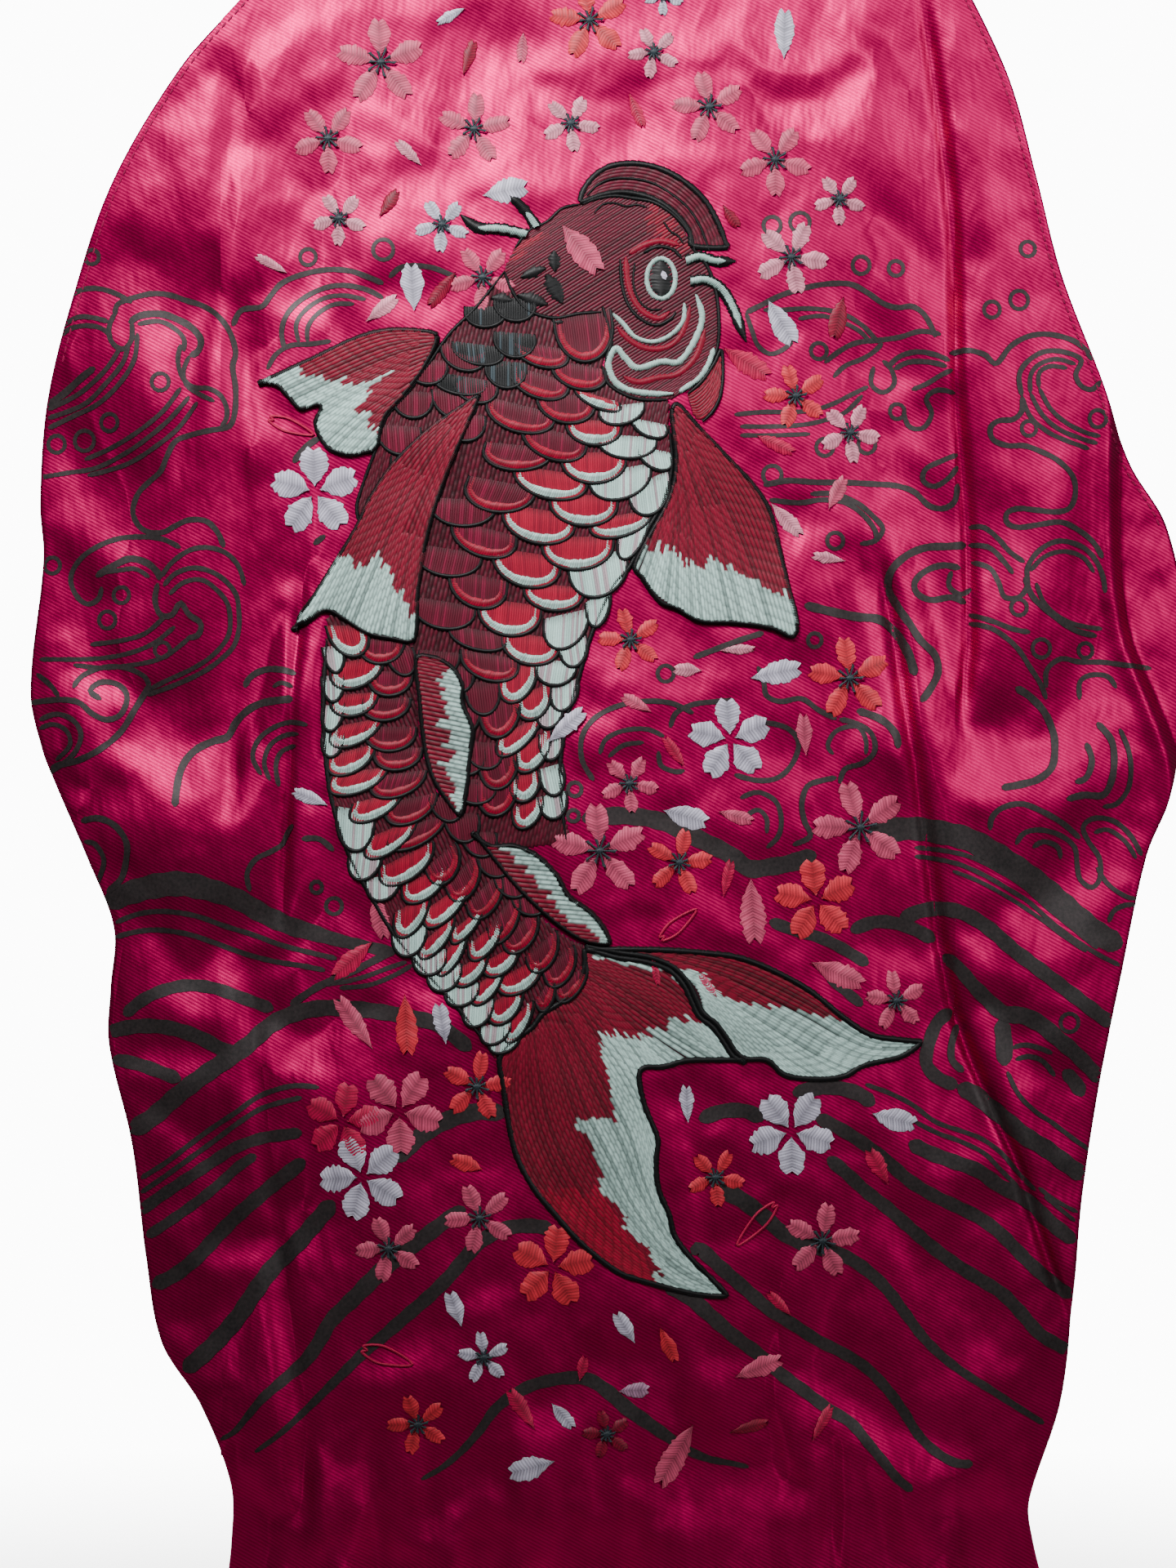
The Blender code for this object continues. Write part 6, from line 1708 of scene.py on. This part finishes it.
# Loose petals: pointed base, notched tip, width, colour
LOOSE_PETALS = [
    ((-42, 535), (-52, 529.5), 3.5, WHITE_LILAC), ((-43, 511.5), (-39, 524), 4.5, DEEP_MAGENTA),
    ((-22, 527), (-23, 516), 4, PINK), ((-57, 480.5), (-65.5, 489), 4, PALE_PINK),
    ((-71.5, 462.5), (-65, 472), 4.5, DEEP_MAGENTA), ((-36, 470), (-20.5, 473), 9, WHITE_LILAC),
    ((-103, 444), (-114, 450), 3.5, PALE_PINK), ((-76, 427), (-65, 435.5), 5, PALE_PINK),
    ((-59.5, 430.5), (-60.5, 447), 8, WHITE_LILAC), ((-45, 444), (-54.5, 432), 5, DEEP_MAGENTA),
    ((-9, 460), (4, 443.5), 9, PINK), ((14, 506), (19, 493.5), 4, MAGENTA),
    ((67, 517), (67.5, 534.5), 7, WHITE_LILAC), ((46, 467), (51.5, 459), 4, DEEP_MAGENTA),
    ((61.5, 434.5), (70.5, 419), 8, WHITE_LILAC), ((87.5, 436), (84, 421), 6.5, DEEP_MAGENTA),
    ((46, 418), (62, 408), 8, MAGENTA), ((57.5, 388), (70.5, 382), 5, MAGENTA),
    ((82, 362.5), (88, 374), 5, PINK), ((62.5, 365), (73, 353.5), 5.5, PALE_PINK),
    ((88, 345), (76.5, 347), 4, PALE_PINK), ((39, 307.5), (29, 308), 5, PALE_PINK),
    ((45, 314.5), (57, 315), 3.5, PALE_PINK), ((21.5, 293.5), (11.5, 299), 4.5, PINK),
    ((55.5, 305), (73, 308.5), 8.5, WHITE_LILAC), ((33, 274.5), (26, 285), 4, MAGENTA),
    ((74.5, 278.5), (73.5, 293), 5.5, PINK), ((-14, 283), (-1, 294), 6.5, WHITE_LILAC),
    ((25.5, 260), (41, 255.5), 8, WHITE_LILAC), ((44.5, 259.5), (56.5, 256), 5, PINK),
    ((46, 230), (49, 243), 4, MAGENTA), ((55.5, 237), (57, 214), 9, PINK),
    ((-89, 261.5), (-101, 266.5), 5, WHITE_LILAC), ((-73, 232.5), (-69.5, 215.5), 7, PINK),
    ((-73.5, 215), (-87.5, 202.5), 6.5, MAGENTA), ((-73.5, 178), (-86, 196), 7, PINK),
    ((-62.5, 197), (-61.5, 176), 8, CORAL), ((-48.5, 180), (-51, 194), 6, WHITE_LILAC),
    ((-36, 137), (-47, 141), 6, CORAL), ((34, 153), (33.5, 166), 5, WHITE_LILAC),
    ((97, 156), (112.5, 152), 8, WHITE_LILAC), ((103, 131.5), (96, 144), 6, MAGENTA),
    ((76, 208), (94.5, 200), 8, PINK), ((22, 210), (24, 200), 3, MAGENTA), ((44, 196), (38, 204), 4, PINK),
    ((-43, 83.5), (-47.5, 95.5), 6, WHITE_LILAC), ((-18, 48.5), (-27, 62.5), 5.5, MAGENTA),
    ((-12.5, 57.5), (-5, 49), 5, WHITE_LILAC), ((-11.5, 38), (-27, 33.5), 8, WHITE_LILAC),
    ((-3, 65), (-1, 73.5), 4, MAGENTA), ((16, 78), (9.5, 88.5), 5.5, WHITE_LILAC),
    ((24.5, 83.5), (30, 71.5), 5, CORAL), ((10.5, 61.5), (21, 62), 5.5, LILAC),
    ((50, 66), (66.5, 72), 7, PINK), ((36, 50), (24, 29), 9, PINK), ((76.5, 44), (83.5, 56), 4, MAGENTA),
    ((69.5, 87), (61.5, 95), 4, MAGENTA), ((48, 47), (62, 50.5), 4, DEEP_MAGENTA),
]
# Petals sewn as an outline only
OUTLINE_PETALS = [((-94, 388.5), (-109, 394), 4.5, MAGENTA), ((37, 226), (25, 216), 4.5, MAGENTA),
                  ((-60, 70.5), (-77, 75.5), 6, MAGENTA), ((51, 111), (64, 125), 5, MAGENTA)]
# Height of the satin ground under petals that lie on the carp
OVER_CARP = {(-9, 460): 0.9, (-14, 283): 1.2}


def add_petal(threads, base, tip, width, colour, ground=0.2):
    """Short stitches on both sides of a petal's middle; their lean leaves a small notch at the tip."""
    base, tip = np.array(base, float), np.array(tip, float)
    path = base + (tip - base) * np.array([[0.0], [0.9]])
    widths = [(0, 0.08 * width), (0.15, 0.27 * width), (0.35, 0.44 * width), (0.58, 0.5 * width),
              (0.8, 0.41 * width), (0.93, 0.29 * width), (1, 0.2 * width)]
    threads.column(path, widths, 0.95, colour, ground, pitch=1.0, slant=0.2,
                   chevron=0.1 * np.linalg.norm(tip - base), crease=0.4, contrast=0.2)


def add_blossom(threads, u, v, radius, tilt, colour):
    """Five petals, and a knot with short rays for the stamens."""
    middle = np.array([u, v], float)
    knots = (u, v) not in WITHOUT_KNOT
    for k in range(5):
        turn = math.radians(tilt + k * PETAL_REACH)
        direction = np.array([math.cos(turn), math.sin(turn)])
        add_petal(threads, middle + 0.12 * radius * direction, middle + 1.06 * radius * direction,
                  (0.52 if knots else 0.68) * radius, colour, 0.2 + 0.06 * (k % 2))
    if not knots:
        return
    for k in range(10):
        turn = math.radians(tilt + 36 * k + 12)
        direction = np.array([math.cos(turn), math.sin(turn)])
        reach = radius * (0.36 if k % 2 else 0.27)
        threads.column(np.array([middle, middle + reach * direction]),
                       [(0, 0.3), (0.6, 0.35), (1, 0.6)], 0.5, CHARCOAL, 1.25, pitch=0.7)
    threads.column(np.array([(u - 1.3, v), (u + 1.3, v)]), [(0, 0.6), (0.5, 1.4), (1, 0.6)], 0.8, CHARCOAL,
                   1.3)


def blossom_slot(colour):
    if colour == CORAL:
        return "coral_blossom"
    return "pale_blossom" if colour == WHITE_LILAC else "pink_blossom"


def add_blossoms():
    for number, (u, v, radius, tilt, colour) in enumerate(LARGE_BLOSSOMS, start=1):
        threads = Threads(300 + number)
        add_blossom(threads, u, v, radius, tilt, colour)
        threads.finish(f"blossom_{number:02d}_stitches", blossom_slot(colour), [f"blossom_{number:02d}"])
    groups = {}
    for number, (u, v, radius, tilt, colour) in enumerate(SMALL_BLOSSOMS):
        slot = blossom_slot(colour)
        threads = groups.setdefault(f"small_{slot}s", (Threads(330 + len(groups)), slot))[0]
        add_blossom(threads, u, v, radius, tilt, colour)
    for number, (base, tip, width, colour) in enumerate(LOOSE_PETALS):
        slot = blossom_slot(colour)
        threads = groups.setdefault(f"loose_{slot}_petals", (Threads(340 + len(groups)), slot))[0]
        add_petal(threads, base, tip, width, colour, OVER_CARP.get(base, 0.2) + 0.01 * (number % 5))
    outlines = Threads(360)
    for base, tip, width, colour in OUTLINE_PETALS:
        base, tip = np.array(base, float), np.array(tip, float)
        side = np.array([-(tip - base)[1], (tip - base)[0]]) / np.linalg.norm(tip - base) * width / 2
        middle = base + 0.6 * (tip - base)
        outlines.column(route([base, middle + side, tip + 0.4 * side, tip - 0.08 * (tip - base),
                               tip - 0.4 * side, middle - side], 0.4, cyclic=True), 0.45, 0.7, colour, 0.25)
    outlines.finish("outline_petals", "pink_blossom")
    for name, (threads, slot) in groups.items():
        threads.finish(name, slot)


# ---------------------------------------------------------------- draping and seams

SIM_STEP = 5.0
SIM_FRAMES = 24
SIM_GROWTH = 0.006        # the loose satin is this much larger than the ground it hangs over
SIM_LIMIT = 5.0           # no place moves further than this, in millimetres
DRAPE_SMOOTHING = 12
HOLD_MARGIN = 3.0         # the satin is stiff this far around the stitches
SEAM_REACH, SEAM_HOLD = 7.0, 0.6      # how far a side seam stiffens the satin, and how much
TAPE_HOLD, WAIST_HOLD = 22, 4         # held fast this far below the tape and above the waist


def held_places(u, v):
    """How firmly each place is held, 0..1: by stitches, seams, the neck tape and the waist."""
    places = np.stack([u, v], axis=1)
    held = np.zeros(len(places))
    near_seam = np.minimum(u - left_edge(v), right_edge(v) - u) < SEAM_REACH
    held[near_seam] = SEAM_HOLD
    for name in FIELDS:
        held[inside(places, inset(field_outline(name), -HOLD_MARGIN))] = 1.0
    for cu, cv, radius, _, _ in LARGE_BLOSSOMS + SMALL_BLOSSOMS:
        held[np.hypot(u - cu, v - cv) < radius + HOLD_MARGIN] = 1.0
    held[(v > CLOTH_TOP - TAPE_HOLD) | (v < WAIST_V + WAIST_HOLD)] = 1.0
    return held


def drape_satin():
    """Let the loose satin settle between its stitches, as one cloth, and keep the depth it takes."""
    u, v = np.meshgrid(np.arange(GRID_U[0], GRID_U[-1], SIM_STEP), np.arange(WAIST_V, CLOTH_TOP, SIM_STEP))
    within = (u > left_edge(v) + 1) & (u < right_edge(v) - 1)
    quads = grid_faces(*u.shape)
    used, corners = np.unique(quads[within.reshape(-1)[quads].all(axis=1)], return_inverse=True)
    flat_u, flat_v = u.reshape(-1)[used], v.reshape(-1)[used]
    before = cloth.at(flat_u, flat_v)
    model = mesh_object("draping_cloth", np.stack([flat_u, before, flat_v - NECK_V], axis=1) * MM,
                        corners.reshape(-1, 4), THREAD)
    held = held_places(flat_u, flat_v)
    group = model.vertex_groups.new(name="held")
    for strength in np.unique(held[held > 0]):
        group.add([int(i) for i in np.flatnonzero(held == strength)], float(strength), "REPLACE")
    modifier = model.modifiers.new("drape", "CLOTH")
    settings = modifier.settings
    settings.quality, settings.mass, settings.air_damping = 6, 0.12, 2.0
    settings.tension_stiffness, settings.compression_stiffness = 12.0, 12.0
    settings.shear_stiffness, settings.bending_stiffness = 4.0, 0.3
    settings.vertex_group_mass, settings.shrink_min = group.name, -SIM_GROWTH
    settings.effector_weights.gravity = 0.15
    modifier.collision_settings.use_collision = False
    scene = bpy.context.scene
    for frame in range(1, SIM_FRAMES + 1):
        scene.frame_set(frame)
    shaped = model.evaluated_get(bpy.context.evaluated_depsgraph_get()).data
    after = np.empty(len(shaped.vertices) * 3, np.float32)
    shaped.vertices.foreach_get("co", after)
    moved = np.zeros(u.size)
    moved[used] = np.clip(after[1::3] / MM - before, -SIM_LIMIT, SIM_LIMIT)
    moved = moved.reshape(u.shape)
    bpy.data.objects.remove(model, do_unlink=True)
    scene.frame_set(1)
    fine_u, fine_v = np.meshgrid(GRID_U, GRID_V)
    change = read_grid(moved, (fine_u - u[0, 0]) / SIM_STEP, (fine_v - v[0, 0]) / SIM_STEP)
    for _ in range(DRAPE_SMOOTHING):
        change = (2 * change + np.roll(change, 1, 0) + np.roll(change, -1, 0) + np.roll(change, 1, 1)
                  + np.roll(change, -1, 1)) / 6
    cloth.depth = cloth.depth + change
    cloth.update()
    print("drape moved the satin by", round(float(np.abs(moved).max()), 2), "mm at most")


SEAM_THREAD = srgb(150, 6, 70)
STITCH_STEP, STITCH_POINTS, STITCH_GAP = 0.4, 6, 2
SEAM_INSET = 2.8
LEFT_SEAM_LOW, RIGHT_SEAM_LOW = 415.0, 359.0     # the topstitched raglan seams start at these heights
TAPE_ROWS = (-2.2, -7.8)
TAPE_STITCH, TAPE_PITCH = 2.2, 3.2     # length of one stitch, and from one to the next
TAPE_STITCH_PLACES = 6                 # places along one stitch


def add_topstitches():
    zones = {"centre": Threads(400), "left": Threads(401), "right": Threads(402)}
    dash = [(0, 0.22), (0.2, 0.4), (0.8, 0.4), (1, 0.22)]
    for side, edge, sign, low in (("left", left_edge, -1, LEFT_SEAM_LOW),
                                  ("right", right_edge, 1, RIGHT_SEAM_LOW)):
        v = np.arange(low, CLOTH_TOP - 2, STITCH_STEP)
        path = evenly(np.stack([edge(v) - sign * SEAM_INSET, v], axis=1), STITCH_STEP)
        for start in range(0, len(path) - STITCH_POINTS, STITCH_POINTS + STITCH_GAP):
            part = path[start:start + STITCH_POINTS]
            zone = side if np.abs(part[:, 0]).min() > FOLD_U else "centre"
            zones[zone].column(part, dash, 0.4, SEAM_THREAD, 0.05)
    for zone, threads in zones.items():
        made = threads.finish(f"seam_stitches_{zone}", "satin", body=None)
        if zone == "centre":
            hang_from_tape(made)
        else:
            ride_side(made)
    points, faces, count = [], [], 0
    bow = np.array([-0.35, 0.0, 0.35])
    for z in TAPE_ROWS:
        for start in np.arange(TAPE_LEFT + 2.5, TAPE_RIGHT - 4.5, TAPE_PITCH):
            along = np.linspace(start, start + TAPE_STITCH, TAPE_STITCH_PLACES)
            rise = 0.3 * np.sin(np.linspace(0.2, math.pi - 0.2, TAPE_STITCH_PLACES))
            u = np.repeat(along[:, None], len(bow), axis=1)
            y = -TAPE_THICKNESS / 2 - 0.05 - rise[:, None] * np.array([0.2, 1.0, 0.2])
            points.append(np.stack([u, y, z + 0 * u + bow], axis=-1).reshape(-1, 3) * MM)
            faces.append(grid_faces(TAPE_STITCH_PLACES, len(bow), count))
            count += u.size
    rows = mesh_object("neck_tape_stitches", np.concatenate(points), np.concatenate(faces),
                       seam_thread_material())
    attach(rows, "neck_edge_tape")


def seam_thread_material():
    shader = Shader("seam_thread", SEAM_THREAD, 0.5, 0.0, Sheen_Weight=0.1)
    where = shader.node("TexCoord")["Object"]
    twist = shader.node("TexWave", {"Vector": where, "Scale": 320.0, "Distortion": 2.0},
                        wave_type="BANDS", bands_direction="DIAGONAL")["Fac"]
    shader.set(Base_Color=shader.ramp(twist, srgb(120, 4, 56), srgb(178, 14, 86), 0.2, 0.8))
    shader.set(Normal=shader.bump(twist, 0.4, 0.00008))
    return shader.material


# ---------------------------------------------------------------- floor, light, camera

FLOOR_Z = -0.612
PHOTO_MIDDLE_Z = -0.3012
CAMERA_DISTANCE = 2.0
LENS, SENSOR = 133.9, 36.0
FLOOR_CLEAR, FLOOR_GONE = 0.1, 0.75     # the floor fades out between these distances, in metres
DIM_AIR, WHITE_AIR = 0.08, 12.0         # strength of the surround on the part, and as the camera sees it

# Lamps: name, place, target, size in metres, watts, spread in degrees
LAMPS = [
    ("key_light", (-0.32, -0.85, 0.52), (-0.03, 0.0, -0.07), 0.42, 2.5, 44.0),
    ("fill_light", (0.95, -0.8, 0.15), (0.0, 0.0, -0.2), 0.4, 0.8, 50.0),
    ("rear_light", (0.3, 1.1, 0.4), (0.0, 0.0, -0.3), 0.7, 3.0, 100.0),
]


def add_stage():
    """Pale floor that fades out into the white around it."""
    shader = Shader("studio_floor", (0.86, 0.86, 0.85), 0.8)
    where = shader.node("VectorMath", {0: shader.node("TexCoord")["Object"], 1: (1.0, 1.0, 0.0)},
                        operation="MULTIPLY")["Vector"]
    grain = shader.noise(where, 60.0, 3.0)
    shader.set(Base_Color=shader.ramp(grain, (0.84, 0.84, 0.83), (0.88, 0.88, 0.87)))
    distance = shader.node("VectorMath", {0: where}, operation="LENGTH")["Value"]
    shader.set(Alpha=shader.ramp(distance, (1.0, 1.0, 1.0), (0.0, 0.0, 0.0), FLOOR_CLEAR, FLOOR_GONE))
    across = np.array([-1.0, 1.0])
    points = np.stack([*np.meshgrid(across, across), np.full((2, 2), FLOOR_Z)], axis=-1)
    mesh_object("studio_floor", points, grid_faces(2, 2), shader.material)


def add_air():
    """Dim even light all round, which only the camera's own rays see as plain white."""
    world = bpy.data.worlds.new("studio_air")
    world.use_nodes = True
    nodes, links = world.node_tree.nodes, world.node_tree.links
    white, mix, path = (nodes.new("ShaderNode" + kind) for kind in ("Background", "MixShader", "LightPath"))
    dim = nodes["Background"]
    for air, strength in ((dim, DIM_AIR), (white, WHITE_AIR)):
        air.inputs["Color"].default_value = (1, 1, 1, 1)
        air.inputs["Strength"].default_value = strength
    links.new(path.outputs["Is Camera Ray"], mix.inputs[0])
    links.new(dim.outputs[0], mix.inputs[1])
    links.new(white.outputs[0], mix.inputs[2])
    links.new(mix.outputs[0], nodes["World Output"].inputs["Surface"])
    bpy.context.scene.world = world


def add_area_light(name, place, target, size, power, spread):
    light = bpy.data.lights.new(name, "AREA")
    light.shape, light.size, light.energy, light.spread = "DISK", size, power, math.radians(spread)
    lamp = bpy.data.objects.new(name, light)
    lamp.location = place
    lamp.visible_camera = False
    lamp.rotation_euler = (Vector(target) - Vector(place)).to_track_quat("-Z", "Y").to_euler()
    bpy.context.scene.collection.objects.link(lamp)


def add_light_and_camera():
    for lamp in LAMPS:
        add_area_light(*lamp)
    camera = bpy.data.cameras.new("photo_camera")
    camera.lens, camera.sensor_width, camera.sensor_fit = LENS, SENSOR, "AUTO"
    view = bpy.data.objects.new("photo_camera", camera)
    view.location = (0.0, -CAMERA_DISTANCE, PHOTO_MIDDLE_Z)
    view.rotation_euler = (math.pi / 2, 0.0, 0.0)
    bpy.context.scene.collection.objects.link(view)
    bpy.context.scene.camera = view


def main():
    drape_satin()
    add_satin()
    add_lining()
    add_inner_layers()
    add_neck_tape()
    add_wave_print()
    add_carp_fields()
    add_scales()
    add_head()
    add_blossoms()
    add_topstitches()
    add_stage()
    add_air()
    add_light_and_camera()
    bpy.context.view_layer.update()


main()
